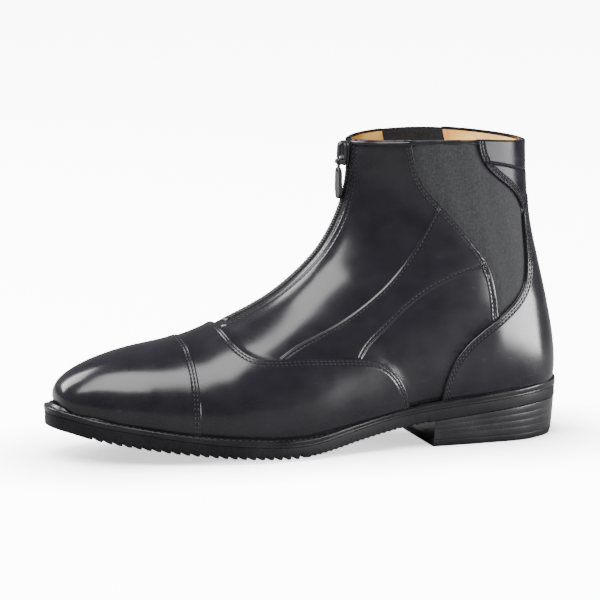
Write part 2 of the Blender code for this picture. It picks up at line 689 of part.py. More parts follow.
def make_zip_slider() -> bpy.types.Object:
    """The slider at the top of the zip, with a notch and a pin that carry the pull."""
    corner = 3.0
    profile = [SidePoint(SLIDER_BACK, SLIDER_LOW), SidePoint(SLIDER_BACK, SLIDER_HIGH)]
    for i in range(5):
        angle = math.radians(90 + 90 * i / 4)
        profile.append(SidePoint(SLIDER_FRONT + corner + corner * math.cos(angle),
                                 SLIDER_HIGH - corner + corner * math.sin(angle)))
    profile.append(SidePoint(SLIDER_FRONT, SLIDER_LOW))
    half = SLIDER_WIDTH / 2
    slider = prism("zip_slider", profile, -half, half)
    slider.hide_render = False
    slider.display_type = 'TEXTURED'
    notch = box("pull_notch", (SLIDER_FRONT - 2, -SLIDER_NOTCH / 2, SLIDER_LOW - 2),
                (PULL_AXIS_X + PULL_KNUCKLE + 0.5, SLIDER_NOTCH / 2,
                 PULL_AXIS_Z + PULL_KNUCKLE + 0.5))
    pin = bar("pull_pin", PULL_AXIS_X, PULL_AXIS_Z, PIN_RADIUS, SLIDER_NOTCH + 1.0, 8)
    cut(slider, 'DIFFERENCE', as_cutter(notch))
    cut(slider, 'UNION', as_cutter(pin))
    return finish(slider, *BLACK_METAL)


def make_zip_pull() -> bpy.types.Object:
    """The pull tab, which hangs from the slider's pin. Its origin is on the pin's axis."""
    half = PULL_WIDTH / 2
    top = PULL_AXIS_Z - PULL_SHOULDER
    low = PULL_AXIS_Z - PULL_LENGTH
    outline = [(-half, top), (half, top)]
    for i in range(7):
        angle = math.radians(-180 * i / 6)
        outline.append((half * math.cos(angle), low + half + half * math.sin(angle)))
    bm = bmesh.new()
    sides = [[bm.verts.new((PULL_AXIS_X + x, y, z)) for y, z in outline]
             for x in (-PULL_THICK / 2, PULL_THICK / 2)]
    skin(bm, sides, closed=True)
    for side in sides:
        bm.faces.new(side)
    pull = new_object("zip_pull", bm)
    neck = box("pull_neck", (PULL_AXIS_X - PULL_THICK / 2, -PULL_NECK / 2, top - 1),
               (PULL_AXIS_X + PULL_THICK / 2, PULL_NECK / 2, PULL_AXIS_Z))
    knuckle = bar("pull_knuckle", PULL_AXIS_X, PULL_AXIS_Z, PULL_KNUCKLE, PULL_NECK, 16)
    bore = bar("pull_bore", PULL_AXIS_X, PULL_AXIS_Z, PIN_RADIUS + GAP, PULL_NECK + 2, 12)
    eye = bar("pull_eye", PULL_AXIS_X, top - PULL_EYE_DROP, PULL_EYE / 2, PULL_THICK + 2, 10, 'X')
    cut(pull, 'UNION', as_cutter(neck), as_cutter(knuckle))
    cut(pull, 'DIFFERENCE', as_cutter(bore), as_cutter(eye))
    axis = Vector((PULL_AXIS_X, SIDE_SHIFT, PULL_AXIS_Z)) * MM
    pull.data.transform(Matrix.Translation(-axis))
    pull.location = axis
    return finish(pull, *BLACK_METAL)


def tooth_at(x: float) -> float:
    """Depth of the tread's saw teeth; their steep faces look towards the heel."""
    if not TREAD_FRONT <= x <= TREAD_BACK:
        return 0.0
    place = (x - TREAD_FRONT) % TOOTH_PITCH
    breaks = [0.0, TOOTH_LAND, TOOTH_LAND + TOOTH_STEEP, TOOTH_PITCH]
    return float(np.interp(place, breaks, [0.0, 0.0, TOOTH_DEPTH, 0.0]))


def make_outsole() -> bpy.types.Object:
    """The outsole, crowned across the boot, with saw teeth right across its forepart."""
    def inset(x: float) -> float:
        return EDGE_STEP

    places = set(even_places(inset, OUTER_STEPS))
    places = {x for x in places if not TREAD_FRONT - 2 < x < TREAD_BACK + 2}
    for i in range(round((TREAD_BACK - TREAD_FRONT) / TOOTH_PITCH)):
        start = TREAD_FRONT + i * TOOTH_PITCH
        places.update((start, start + TOOTH_LAND, start + TOOTH_LAND + TOOTH_STEEP))
    bm = bmesh.new()
    rings = []
    for x, lateral, medial in outline_stations(inset, sorted(places)):
        edge = edge_at(x) + tooth_at(x)
        middle = ground_at(x) + tooth_at(x)
        corners = [(-lateral, edge), (-lateral * CROWN_START, middle),
                   (medial * CROWN_START, middle), (medial, edge), (medial, joint_at(x)),
                   (-lateral, joint_at(x))]
        rings.append([bm.verts.new((x, y, z)) for y, z in corners])
    skin(bm, rings, closed=True)
    bmesh.ops.triangulate(bm, faces=bm.faces)
    return finish(new_object("outsole", bm), *BLACK_RUBBER)


def wall_inset(x: float) -> float:
    """How far the welt's inner edge lies inside the sole's edge."""
    return margin_at(x) + LEATHER + LASTING


def make_welt() -> bpy.types.Object:
    """The welt: a ring between the outsole and the upper's edge."""
    welt = slab("welt", EDGE_STATIONS, lambda x: joint_at(x) + GAP, feather_at)
    hole = slab("welt_hole", outline_stations(wall_inset, even_places(wall_inset, INNER_STEPS)),
                lambda x: joint_at(x) - 2, lambda x: feather_at(x) + 2)
    return finish(cut(welt, 'DIFFERENCE', as_cutter(hole)), *BLACK_RUBBER)


def make_insole() -> bpy.types.Object:
    """The insole, which fills the welt and closes the inside of the boot."""
    def inset(x: float) -> float:
        return wall_inset(x) + GAP

    insole = slab("insole", outline_stations(inset, even_places(inset, INNER_STEPS)),
                  lambda x: joint_at(x) + GAP, lambda x: feather_at(x) + INSOLE_RISE)
    return finish(insole, *TAN_LEATHER)


def heel_layer(name: str, low: Callable[[float], float], high: Callable[[float], float],
               low_inset: float, high_inset: float) -> bpy.types.Object:
    """One layer of the heel, from its flat breast to its round back."""
    count = 13
    shares = [math.sin(math.pi / 2 * i / count) for i in range(count + 1)]
    bm = bmesh.new()
    edges = []
    for inset, level in ((low_inset, low), (high_inset, high)):
        places = [BREAST_X + (HALF_LENGTH - inset - BREAST_X) * share for share in shares]
        stations = outline_stations(lambda x, inset=inset: inset, places)
        edges.append([((s.x, -s.lateral, level(s.x)), (s.x, s.medial, level(s.x)))
                      for s in stations])
    rings = []
    for under, over in zip(*edges):
        corners = [under[0], under[1], over[1], over[0]]
        rings.append([bm.verts.new(corner) for corner in corners])
    skin(bm, rings, closed=True)
    bm.faces.new(rings[0])
    return new_object(name, bm)


def make_heel() -> None:
    """The heel block under the heel seat and the top lift under it."""
    seat_inset = EDGE_STEP + 0.3
    floor_inset = seat_inset + HEEL_TAPER
    block = heel_layer("heel_block", lambda x: LIFT_THICK + GAP, lambda x: edge_at(x) - GAP,
                       floor_inset, seat_inset)
    lift = heel_layer("top_lift", lambda x: 0.0, lambda x: LIFT_THICK,
                      floor_inset + LIFT_STEP, floor_inset)
    finish(block, *BLACK_LEATHER)
    finish(lift, *BLACK_RUBBER)


def clear_scene() -> None:
    """Remove whatever the scene held before."""
    for obj in list(bpy.data.objects):
        bpy.data.objects.remove(obj, do_unlink=True)


def main() -> None:
    """Build the boot."""
    clear_scene()
    trim = make_trimmers()
    make_upper(trim)
    make_panels(trim)
    make_gussets(trim)
    make_zip_tape(trim)
    make_zip_coil()
    make_zip_slider()
    make_zip_pull()
    make_outsole()
    make_welt()
    make_insole()
    make_heel()


if __name__ == "__main__":
    main()
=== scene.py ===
"""Looks of a left paddock boot in black polished leather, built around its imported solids.

Shapes are worked out in millimetres from the boot's own middle plane, with the toe towards -X,
the outer side towards -Y and +Z up, and become metres when a mesh is made.
"""
import logging
import math
from dataclasses import dataclass, field
from enum import Enum
from typing import Callable, ClassVar, NamedTuple, Sequence

import bmesh
import bpy
import numpy as np
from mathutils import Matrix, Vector


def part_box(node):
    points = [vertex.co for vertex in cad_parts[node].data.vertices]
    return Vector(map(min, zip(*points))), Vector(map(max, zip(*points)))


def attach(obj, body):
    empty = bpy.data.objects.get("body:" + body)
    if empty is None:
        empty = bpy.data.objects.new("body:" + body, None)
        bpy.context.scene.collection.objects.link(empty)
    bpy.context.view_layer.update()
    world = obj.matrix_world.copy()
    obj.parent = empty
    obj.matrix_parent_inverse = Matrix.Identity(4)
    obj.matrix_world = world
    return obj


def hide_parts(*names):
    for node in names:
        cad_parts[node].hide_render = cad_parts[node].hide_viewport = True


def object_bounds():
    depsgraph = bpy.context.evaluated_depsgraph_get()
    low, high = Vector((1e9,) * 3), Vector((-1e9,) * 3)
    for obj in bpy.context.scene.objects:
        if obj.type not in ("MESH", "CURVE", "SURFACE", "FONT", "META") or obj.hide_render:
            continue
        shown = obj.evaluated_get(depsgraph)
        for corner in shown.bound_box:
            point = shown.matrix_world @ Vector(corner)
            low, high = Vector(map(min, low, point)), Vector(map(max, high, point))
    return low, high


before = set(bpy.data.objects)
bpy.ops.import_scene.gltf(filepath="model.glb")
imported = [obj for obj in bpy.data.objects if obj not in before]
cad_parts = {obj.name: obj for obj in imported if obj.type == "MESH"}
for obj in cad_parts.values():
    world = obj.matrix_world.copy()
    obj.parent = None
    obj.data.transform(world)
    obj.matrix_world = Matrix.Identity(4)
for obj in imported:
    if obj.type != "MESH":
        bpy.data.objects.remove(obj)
CAD_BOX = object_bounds()
LOG = logging.getLogger("paddock_boot")

MM = 0.001
HALF_LENGTH = (CAD_BOX[1][0] - CAD_BOX[0][0]) / MM / 2
SLIDER_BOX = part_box("zip_slider")
SIDE_SHIFT = (SLIDER_BOX[0].y + SLIDER_BOX[1].y) / MM / 2

# Walls and clearances of the boot, as in the solids
LEATHER = 2.2
GAP = 0.3
LASTING = 3.4
INSOLE_RISE = 2.2
GUSSET_SUNK = 0.3
GUSSET_THICK = 1.5
ZIP_SLOT = 8.6
EDGE_STEP = 0.4
CROWN_START = 0.4
TOE_ROUND = 27.0
HEEL_ROUND = 32.0
BREAST_X = 66.0
LIFT_THICK = 4.0
HEEL_TAPER = 1.5
LIFT_STEP = 0.8
CAP_EDGE_X = -69.8
ZIP_LOW_X = -46.0
FLOOR_FRONT = -31.0
FLOOR_BACK = -14.0


class SoleRow(NamedTuple):
    """Side view of the sole at one place along the boot."""

    x: float
    edge: float
    middle: float
    outsole: float
    welt: float
    margin: float


SOLE = [SoleRow(*row) for row in (
    (-146.5, 19.6, 19.6, 7.0, 3.5, 5.2),
    (-122.0, 13.3, 12.3, 7.9, 3.2, 5.2),
    (-98.0, 8.8, 7.2, 8.0, 3.1, 5.0),
    (-73.0, 5.5, 3.7, 7.3, 3.3, 4.8),
    (-48.0, 3.1, 1.1, 6.9, 3.7, 4.8),
    (-31.0, 2.0, 0.0, 6.6, 3.9, 4.6),
    (-14.0, 1.6, 0.0, 6.5, 4.0, 4.4),
    (-2.0, 2.8, 1.2, 6.4, 3.9, 4.0),
    (9.0, 4.8, 3.4, 6.7, 3.7, 3.6),
    (20.0, 7.1, 6.1, 6.6, 3.7, 3.2),
    (32.0, 9.4, 8.8, 6.7, 3.6, 3.0),
    (43.0, 11.4, 11.1, 6.6, 3.7, 2.8),
    (54.0, 13.1, 13.1, 6.6, 3.7, 2.8),
    (66.0, 14.7, 14.7, 6.4, 3.9, 2.8),
    (97.0, 17.6, 17.6, 6.1, 4.2, 2.8),
    (122.0, 20.0, 20.0, 6.0, 4.4, 2.8),
    (146.5, 21.4, 21.4, 6.0, 4.6, 2.8),
)]


class OutlineRow(NamedTuple):
    """Half widths of the sole, seen from above, at one place along the boot."""

    x: float
    lateral: float
    medial: float


OUTLINE = [OutlineRow(*row) for row in (
    (-138.5, 16.0, 17.4),
    (-128.5, 24.2, 26.6),
    (-113.5, 31.2, 34.0),
    (-93.5, 37.8, 40.8),
    (-73.5, 43.4, 45.2),
    (-58.5, 46.8, 46.8),
    (-43.5, 49.0, 46.6),
    (-28.5, 49.4, 44.6),
    (-13.5, 47.4, 41.0),
    (6.5, 42.8, 35.2),
    (26.5, 37.8, 30.6),
    (46.5, 34.6, 28.4),
    (70.5, 33.6, 30.0),
    (86.5, 33.2, 31.4),
    (106.5, 32.0, 32.0),
    (126.5, 27.8, 28.0),
    (136.5, 21.2, 21.4),
)]


class LastRow(NamedTuple):
    """One section of the upper's outer form, from its front or top to its back or bottom."""

    front_x: float
    front_z: float
    back_x: float
    back_z: float
    lateral: float
    medial: float
    widest: float
    front_power: float
    back_power: float


LAST = [LastRow(*row) for row in (
    (-139.4, 34.5, -139.4, 34.5, 0.0, 0.0, 0.50, 2.0, 2.0),
    (-138.2, 39.0, -138.5, 29.6, 8.4, 9.2, 0.50, 2.0, 2.0),
    (-134.6, 43.6, -135.8, 23.4, 14.4, 16.0, 0.52, 2.0, 2.1),
    (-127.0, 48.5, -128.7, 17.0, 19.8, 22.4, 0.54, 2.0, 2.2),
    (-114.0, 53.6, -115.5, 12.0, 26.8, 29.8, 0.58, 2.0, 0.0),
    (-96.0, 58.0, -97.5, 8.5, 33.6, 36.6, 0.62, 2.0, 0.0),
    (-78.0, 60.9, -78.5, 5.5, 39.0, 41.0, 0.64, 2.0, 0.0),
    (-60.0, 65.8, -59.0, 3.5, 44.0, 43.8, 0.66, 1.95, 0.0),
    (-42.0, 73.7, -37.0, 1.5, 46.6, 43.6, 0.66, 1.9, 0.0),
    (-24.5, 82.2, -10.0, 0.6, 45.6, 40.8, 0.66, 1.9, 0.0),
    (-9.5, 92.3, 24.0, 7.0, 40.6, 37.6, 0.64, 1.9, 0.0),
    (4.4, 105.0, 64.0, 14.0, 35.6, 35.4, 0.60, 1.95, 0.0),
    (13.0, 116.5, 104.0, 16.0, 33.8, 34.2, 0.56, 2.0, 3.3),
    (18.2, 126.5, 136.5, 21.0, 32.8, 33.2, 0.54, 2.05, 2.9),
    (21.4, 134.5, 143.8, 45.0, 31.8, 32.2, 0.53, 2.1, 2.45),
    (23.6, 142.5, 140.5, 70.0, 30.8, 31.0, 0.52, 2.1, 2.3),
    (24.9, 150.5, 134.4, 97.0, 30.2, 30.2, 0.52, 2.1, 2.3),
    (25.5, 158.5, 128.8, 123.0, 30.2, 30.2, 0.52, 2.1, 2.3),
    (25.9, 166.5, 126.8, 149.0, 30.8, 30.8, 0.52, 2.1, 2.3),
    (26.1, 175.0, 126.4, 171.0, 31.4, 31.4, 0.52, 2.1, 2.3),
    (26.2, 186.0, 126.4, 186.0, 31.8, 31.8, 0.52, 2.1, 2.3),
)]


class SidePoint(NamedTuple):
    """A point of an edge or seam in side view."""

    x: float
    z: float


def side_points(*places: tuple[float, float]) -> list[SidePoint]:
    """Name the places of an edge or seam."""
    return [SidePoint(*place) for place in places]


COLLAR = side_points((-10, 168.6), (25, 169.6), (50, 170.6), (92, 169.8), (128, 166.2), (160, 163.0))
VAMP_EDGE = side_points((-56, 85), (-51, 71.5), (-46.5, 62.4), (-41, 57.6), (-33, 55.2), (-19, 54.9),
                        (2, 54.2), (22, 52.9), (33, 50.2), (42.2, 43.2), (47.3, 35), (51, 24), (53, 5))
GUSSET_FRONT = side_points((48, 190), (53, 170.3), (55.4, 157), (60, 145.3), (69.3, 134.4), (84.8, 117),
                           (97.2, 100.3), (101.8, 85.4), (103, 70))
GUSSET_BACK = side_points((89.5, 190), (90.6, 170), (92.2, 161.4), (98, 152.6), (109, 143.6),
                          (117.4, 135.4), (121.4, 128))
COUNTER_BACK = side_points((121.4, 128), (122.2, 111), (122.2, 96), (120.2, 86.4), (114.4, 79), (103, 70))
COUNTER_FRONT = side_points((103, 70), (89, 60.5), (77.6, 48.6), (72.4, 38), (70.2, 25.7), (69.5, 5))
STRAP_TOP = side_points((121.4, 128), (127, 137), (165, 141))

# The middle panel of the quarter, between its upper and its lower seam
SEAM_UPPER = side_points((76, 142), (69.3, 134.6), (61.6, 121.5), (51.5, 105.3), (38.7, 91), (26.9, 81.8),
                         (7.2, 70.6), (-22.8, 57), (-32, 50))
SEAM_LOWER = side_points((20, 47), (23.6, 55.2), (36.6, 67.6), (49.1, 78.3), (64.9, 88.5), (79.9, 95),
                         (96, 98.8), (106, 100))
PATCH_STITCH = side_points((96, 157.5), (108, 155), (118, 152), (132, 147))


class Spline:
    """A natural cubic curve through given values."""

    def __init__(self, at: Sequence[float], values: Sequence[float]) -> None:
        """Solve the curve's bends.

        Args:
            at: the places of the values, in rising order.
            values: the curve's value at each place.
        """
        self.knots = np.array(at, float)
        self.heights = np.array(values, float)
        self.step = np.diff(self.knots)
        slope = np.diff(self.heights) / self.step
        count = len(self.knots)
        matrix = np.eye(count)
        right = np.zeros(count)
        for i in range(1, count - 1):
            matrix[i, i - 1] = self.step[i - 1]
            matrix[i, i] = 2 * (self.step[i - 1] + self.step[i])
            matrix[i, i + 1] = self.step[i]
            right[i] = 6 * (slope[i] - slope[i - 1])
        self.bend = np.linalg.solve(matrix, right)

    def __call__(self, position: float | np.ndarray) -> np.ndarray:
        """Return the curve's value at one or many places."""
        place = np.asarray(position, float)
        i = np.clip(np.searchsorted(self.knots, place) - 1, 0, len(self.knots) - 2)
        ahead = self.knots[i + 1] - place
        behind = place - self.knots[i]
        step = self.step[i]
        cubic = (self.bend[i] * ahead ** 3 + self.bend[i + 1] * behind ** 3) / (6 * step)
        left = (self.heights[i] / step - self.bend[i] * step / 6) * ahead
        return cubic + left + (self.heights[i + 1] / step - self.bend[i + 1] * step / 6) * behind


def side_line(points: Sequence[SidePoint], per_span: int = 6) -> np.ndarray:
    """Return a smooth line through points in side view.

    Args:
        points: the line's own points.
        per_span: how many points of the line stand for each span.

    Returns:
        An array of x and z.
    """
    knots = np.array(points, float)
    path = np.concatenate([[0], np.cumsum(np.hypot(*np.diff(knots, axis=0).T))])
    places = np.concatenate([np.linspace(a, b, per_span, endpoint=False)
                             for a, b in zip(path, path[1:])] + [path[-1:]])
    return np.stack([Spline(path, knots[:, 0])(places), Spline(path, knots[:, 1])(places)], axis=1)


def polygon_distance(places: np.ndarray, outline: np.ndarray) -> np.ndarray:
    """Return the distance of side-view places to a closed outline, negative inside it.

    Args:
        places: an array of x and z.
        outline: the outline's corners.
    """
    nearest = np.full(len(places), 1e9)
    inside = np.zeros(len(places), bool)
    for start, end in zip(outline, np.roll(outline, -1, axis=0)):
        along = end - start
        offset = places - start
        share = np.clip(offset @ along / max(along @ along, 1e-12), 0, 1)
        nearest = np.minimum(nearest, np.hypot(*(offset - share[:, None] * along).T))
        if start[1] == end[1]:
            continue
        spans = (start[1] > places[:, 1]) != (end[1] > places[:, 1])
        crossing = start[0] + (places[:, 1] - start[1]) * along[0] / along[1]
        inside ^= spans & (places[:, 0] < crossing)
    return np.where(inside, -nearest, nearest)


class Sole:
    """Heights and outline of the sole."""

    rows = [row.x for row in SOLE]
    edge = Spline(rows, [row.edge for row in SOLE])
    middle = Spline(rows, [row.middle for row in SOLE])
    outsole = Spline(rows, [row.outsole for row in SOLE])
    welt = Spline(rows, [row.welt for row in SOLE])
    margin = Spline(rows, [row.margin for row in SOLE])

    @classmethod
    def ground(cls, x: np.ndarray) -> np.ndarray:
        """Height of the underside in the middle, flat at the ball of the foot."""
        on_floor = (x >= FLOOR_FRONT) & (x <= FLOOR_BACK)
        return np.where(on_floor, 0.0, np.maximum(cls.middle(x), 0.0))

    @classmethod
    def joint(cls, x: np.ndarray) -> np.ndarray:
        """Height of the outsole's top."""
        return cls.edge(x) + cls.outsole(x)

    @classmethod
    def feather(cls, x: np.ndarray) -> np.ndarray:
        """Height of the welt's top."""
        return cls.joint(x) + cls.welt(x)

    @staticmethod
    def half_width(side: str) -> Callable[[np.ndarray], np.ndarray]:
        """Return the half width of one side as a function of the place along the boot."""
        def fullness(x: np.ndarray) -> np.ndarray:
            return np.sqrt(np.maximum(1 - (x / HALF_LENGTH) ** 2, 1e-9))

        at = [-HALF_LENGTH] + [row.x for row in OUTLINE] + [HALF_LENGTH]
        inner = [getattr(row, side) / float(fullness(row.x)) for row in OUTLINE]
        ends = [math.sqrt(radius * HALF_LENGTH) for radius in (TOE_ROUND, HEEL_ROUND)]
        curve = Spline(at, [ends[0]] + inner + [ends[1]])
        return lambda x: curve(x) * fullness(x)

    @classmethod
    def loop(cls, count: int) -> tuple[np.ndarray, np.ndarray]:
        """Return points around the outline and their outward directions.

        Args:
            count: number of points.

        Returns:
            Points and directions, as arrays of x and y.
        """
        turn = np.linspace(0, 2 * math.pi, count, endpoint=False)
        x = -HALF_LENGTH * np.cos(turn)
        y = np.where(turn <= math.pi, -cls.half_width("lateral")(x), cls.half_width("medial")(x))
        points = np.stack([x, y], axis=1)
        along = np.roll(points, -1, axis=0) - np.roll(points, 1, axis=0)
        along /= np.linalg.norm(along, axis=1)[:, None]
        return points, np.stack([along[:, 1], -along[:, 0]], axis=1)

    @classmethod
    def widths(cls, inset: float, places: np.ndarray) -> tuple[np.ndarray, np.ndarray]:
        """Half widths of the outline moved inwards by an amount, at places along the boot."""
        points, outward = cls.loop(1600)
        moved = points - outward * inset
        near, far = moved[:801], np.concatenate([moved[800:], moved[:1]])[::-1]
        lateral = np.interp(places, near[:, 0], -near[:, 1])
        medial = np.interp(places, far[:, 0], far[:, 1])
        return np.maximum(lateral, 0), np.maximum(medial, 0)


class Last:
    """The boot's outer form above its sole."""

    @staticmethod
    def feather_power(row: LastRow, width: float, half_width: Callable) -> float:
        """Back power with which a section meets the welt at the sole's margin."""
        shares = np.linspace(row.widest, 1.0, 200)
        heights = row.front_z + (row.back_z - row.front_z) * shares
        places = row.front_x + (row.back_x - row.front_x) * shares
        crossing = int(np.argmin(np.abs(heights - Sole.feather(places))))
        depth = (shares[crossing] - row.widest) / (1 - row.widest)
        edge = float(half_width(places[crossing]) - Sole.margin(places[crossing]))
        across = min(edge / width, 0.985)
        low, high = 1.4, 6.0
        for _ in range(40):
            power = (low + high) / 2
            if depth ** power + across ** power > 1:
                low = power
            else:
                high = power
        return power

    @classmethod
    def curves(cls) -> list[Spline]:
        """Return one curve for each column of the table, with the back power of both sides."""
        columns = []
        for row in LAST:
            powers = [row.back_power] * 2
            if row.back_power == 0.0:
                powers = [cls.feather_power(row, row.lateral, Sole.half_width("lateral")),
                          cls.feather_power(row, row.medial, Sole.half_width("medial"))]
            columns.append(list(row[:8]) + powers)
        pole, first = columns[0], columns[1]
        mirrored = [first[2], 2 * pole[3] - first[1], first[0], 2 * pole[1] - first[3], -first[4],
                    -first[5]] + first[6:]
        return [Spline(range(-1, len(LAST)), column) for column in zip(mirrored, *columns)]

    @staticmethod
    def half_section(values: list[float], width: float, back_power: float,
                     columns: int) -> tuple[np.ndarray, np.ndarray]:
        """Shares of the chord and half widths along one side of a section, evenly spaced."""
        front_x, front_z, back_x, back_z, _, _, widest, front_power = values[:8]
        chord = max(math.hypot(back_x - front_x, back_z - front_z), 1e-6)
        turn = np.linspace(0, math.pi / 2, 400)
        front = widest * (1 - np.cos(turn) ** (2 / front_power))
        back = widest + (1 - widest) * np.sin(turn) ** (2 / back_power)
        share = np.concatenate([front, back[1:]])
        across = width * np.concatenate([np.sin(turn) ** (2 / front_power),
                                         np.abs(np.cos(turn[1:])) ** (2 / back_power)])
        path = np.concatenate([[0], np.cumsum(np.hypot(np.diff(share) * chord, np.diff(across)))])
        even = np.linspace(0, path[-1], columns + 1)
        return np.interp(even, path, share), np.interp(even, path, across)

    @classmethod
    def grid(cls, per_row: int, columns: int) -> tuple[np.ndarray, np.ndarray]:
        """Return the form as rings of points, and each point's share of its section's chord.

        Args:
            per_row: rings for each row of the table.
            columns: points from the front to the back, on each side.
        """
        curves = cls.curves()
        rings, shares = [], []
        for i in range(1, (len(LAST) - 1) * per_row + 1):
            values = [float(curve(i / per_row)) for curve in curves]
            near, near_width = cls.half_section(values, values[4], values[8], columns)
            far, far_width = cls.half_section(values, values[5], values[9], columns)
            share = np.concatenate([near, far[1:-1][::-1]])
            across = np.concatenate([-near_width, far_width[1:-1][::-1]])
            rings.append(np.stack([values[0] + (values[2] - values[0]) * share, across,
                                   values[1] + (values[3] - values[1]) * share], axis=1))
            shares.append(share)
        return np.array(rings), np.array(shares)


def unit(vectors: np.ndarray) -> np.ndarray:
    """Return vectors scaled to length 1."""
    return vectors / np.maximum(np.linalg.norm(vectors, axis=-1, keepdims=True), 1e-12)


class Path(NamedTuple):
    """A line on the form: its points, their outward directions and the fields' values there."""

    points: np.ndarray
    normals: np.ndarray
    values: dict[str, np.ndarray]


class Keep(Enum):
    """Which side of a cut stays."""

    BOTH = 0
    ABOVE = 1
    BELOW = -1


class Sheet:
    """A triangulated surface with outward directions and named fields of distance."""

    SNAP = 0.16
    ON_LEVEL = 1e-7

    def __init__(self, points: np.ndarray, normals: np.ndarray, faces: np.ndarray,
                 fields: dict[str, np.ndarray]) -> None:
        """Keep the surface's own copies."""
        self.points = points.copy()
        self.normals = normals.copy()
        self.faces = faces.copy()
        self.names = list(fields)
        self.values = np.stack([fields[name] for name in self.names], axis=1)
        self.locked = np.zeros(len(points), bool)

    def copy(self) -> "Sheet":
        """Return a sheet of its own with the same surface."""
        return Sheet(self.points, self.normals, self.faces,
                     {name: self.values[:, i] for i, name in enumerate(self.names)})

    def get(self, name: str) -> np.ndarray:
        """Values of a field at the points."""
        return self.values[:, self.names.index(name)]

    def between(self, a: int, b: int, t: float) -> tuple[np.ndarray, np.ndarray, np.ndarray]:
        """Point, direction and field values part of the way from a to b, on the curved surface."""
        start, end = self.points[a], self.points[b]
        flat = start + (end - start) * t
        first = flat - (flat - start) @ self.normals[a] * self.normals[a]
        second = flat - (flat - end) @ self.normals[b] * self.normals[b]
        point = (flat + first * (1 - t) + second * t) / 2
        normal = unit(self.normals[a] * (1 - t) + self.normals[b] * t)
        return point, normal, self.values[a] * (1 - t) + self.values[b] * t

    def crossing_faces(self, level_values: np.ndarray) -> np.ndarray:
        """Which triangles a level crosses."""
        corner = level_values[self.faces]
        return (corner < 0).any(1) & (corner > 0).any(1)

    def snap(self, column: int, level: float) -> None:
        """Move free points that lie close to a level onto it, so that no sliver is cut."""
        values = self.values[:, column] - level
        best: dict[int, tuple[float, int]] = {}
        for face in self.faces[self.crossing_faces(values)]:
            for a, b in ((face[0], face[1]), (face[1], face[2]), (face[2], face[0])):
                if values[a] * values[b] >= 0:
                    continue
                share = values[a] / (values[a] - values[b])
                for point, other, t in ((a, b, share), (b, a, 1 - share)):
                    if t < self.SNAP and not self.locked[point] and t < best.get(point, (1, 0))[0]:
                        best[point] = (t, other)
        moved = [(point, self.between(point, other, t)) for point, (t, other) in best.items()]
        for point, (place, normal, fields) in moved:
            self.points[point] = place
            self.normals[point] = normal
            self.values[point] = fields
            self.values[point, column] = level

    def cut(self, name: str, level: float, keep: Keep = Keep.BOTH) -> "Sheet":
        """Cut the triangles along a level of a field.

        Args:
            name: the field.
            level: its value along the cut.
            keep: what stays.

        Returns:
            The sheet itself.
        """
        column = self.names.index(name)
        self.snap(column, level)
        values = self.values[:, column] - level
        values[np.abs(values) < self.ON_LEVEL] = 0.0
        crossing = self.crossing_faces(values)
        new: list[tuple[np.ndarray, np.ndarray, np.ndarray]] = []
        made: dict[tuple[int, int], int] = {}

        def edge_point(a: int, b: int) -> int:
            """Number of the new point on an edge, made when it is first asked for."""
            key = (min(a, b), max(a, b))
            if key not in made:
                made[key] = len(self.points) + len(new)
                point, normal, fields = self.between(a, b, values[a] / (values[a] - values[b]))
                fields[column] = level
                new.append((point, normal, fields))
            return made[key]

        pieces = []
        for face in self.faces[crossing]:
            signs = np.sign(values[face])
            if (signs == 0).any():
                turn = int(np.argmax(signs == 0))
                on, a, b = np.roll(face, -turn)
                middle = edge_point(a, b)
                pieces += [(on, a, middle), (on, middle, b)]
            else:
                alone = 1 if (signs > 0).sum() == 1 else -1
                turn = int(np.argmax(signs == alone))
                tip, a, b = np.roll(face, -turn)
                near_a, near_b = edge_point(tip, a), edge_point(tip, b)
                pieces += [(tip, near_a, near_b), (near_a, a, b), (near_a, b, near_b)]
        faces = self.faces[~crossing]
        if pieces:
            faces = np.concatenate([faces, np.array(pieces, int)])
        if new:
            points, normals, fields = zip(*new)
            self.points = np.concatenate([self.points, points])
            self.normals = np.concatenate([self.normals, normals])
            self.values = np.concatenate([self.values, fields])
        values = self.values[:, column] - level
        values[np.abs(values) < self.ON_LEVEL] = 0.0
        self.locked = np.concatenate([self.locked, np.ones(len(new), bool)])
        self.locked |= values == 0.0
        if keep is not Keep.BOTH:
            faces = faces[values[faces].sum(1) * keep.value > 0]
        self.faces = faces
        return self

    def rows(self, name: str, levels: Sequence[float]) -> "Sheet":
        """Cut along several levels of a field and keep everything."""
        for level in levels:
            self.cut(name, level)
        return self

    def compact(self) -> "Sheet":
        """Drop the points that no triangle uses."""
        used, index = np.unique(self.faces, return_inverse=True)
        self.faces = index.reshape(self.faces.shape)
        self.points = self.points[used]
        self.normals = self.normals[used]
        self.values = self.values[used]
        self.locked = self.locked[used]
        return self

    def border(self) -> np.ndarray:
        """Edges with a triangle on one side only, in the triangles' own direction."""
        edges = np.concatenate([self.faces[:, [0, 1]], self.faces[:, [1, 2]], self.faces[:, [2, 0]]])
        seen = {(a, b) for a, b in edges.tolist()}
        return np.array([edge for edge in edges.tolist() if (edge[1], edge[0]) not in seen])

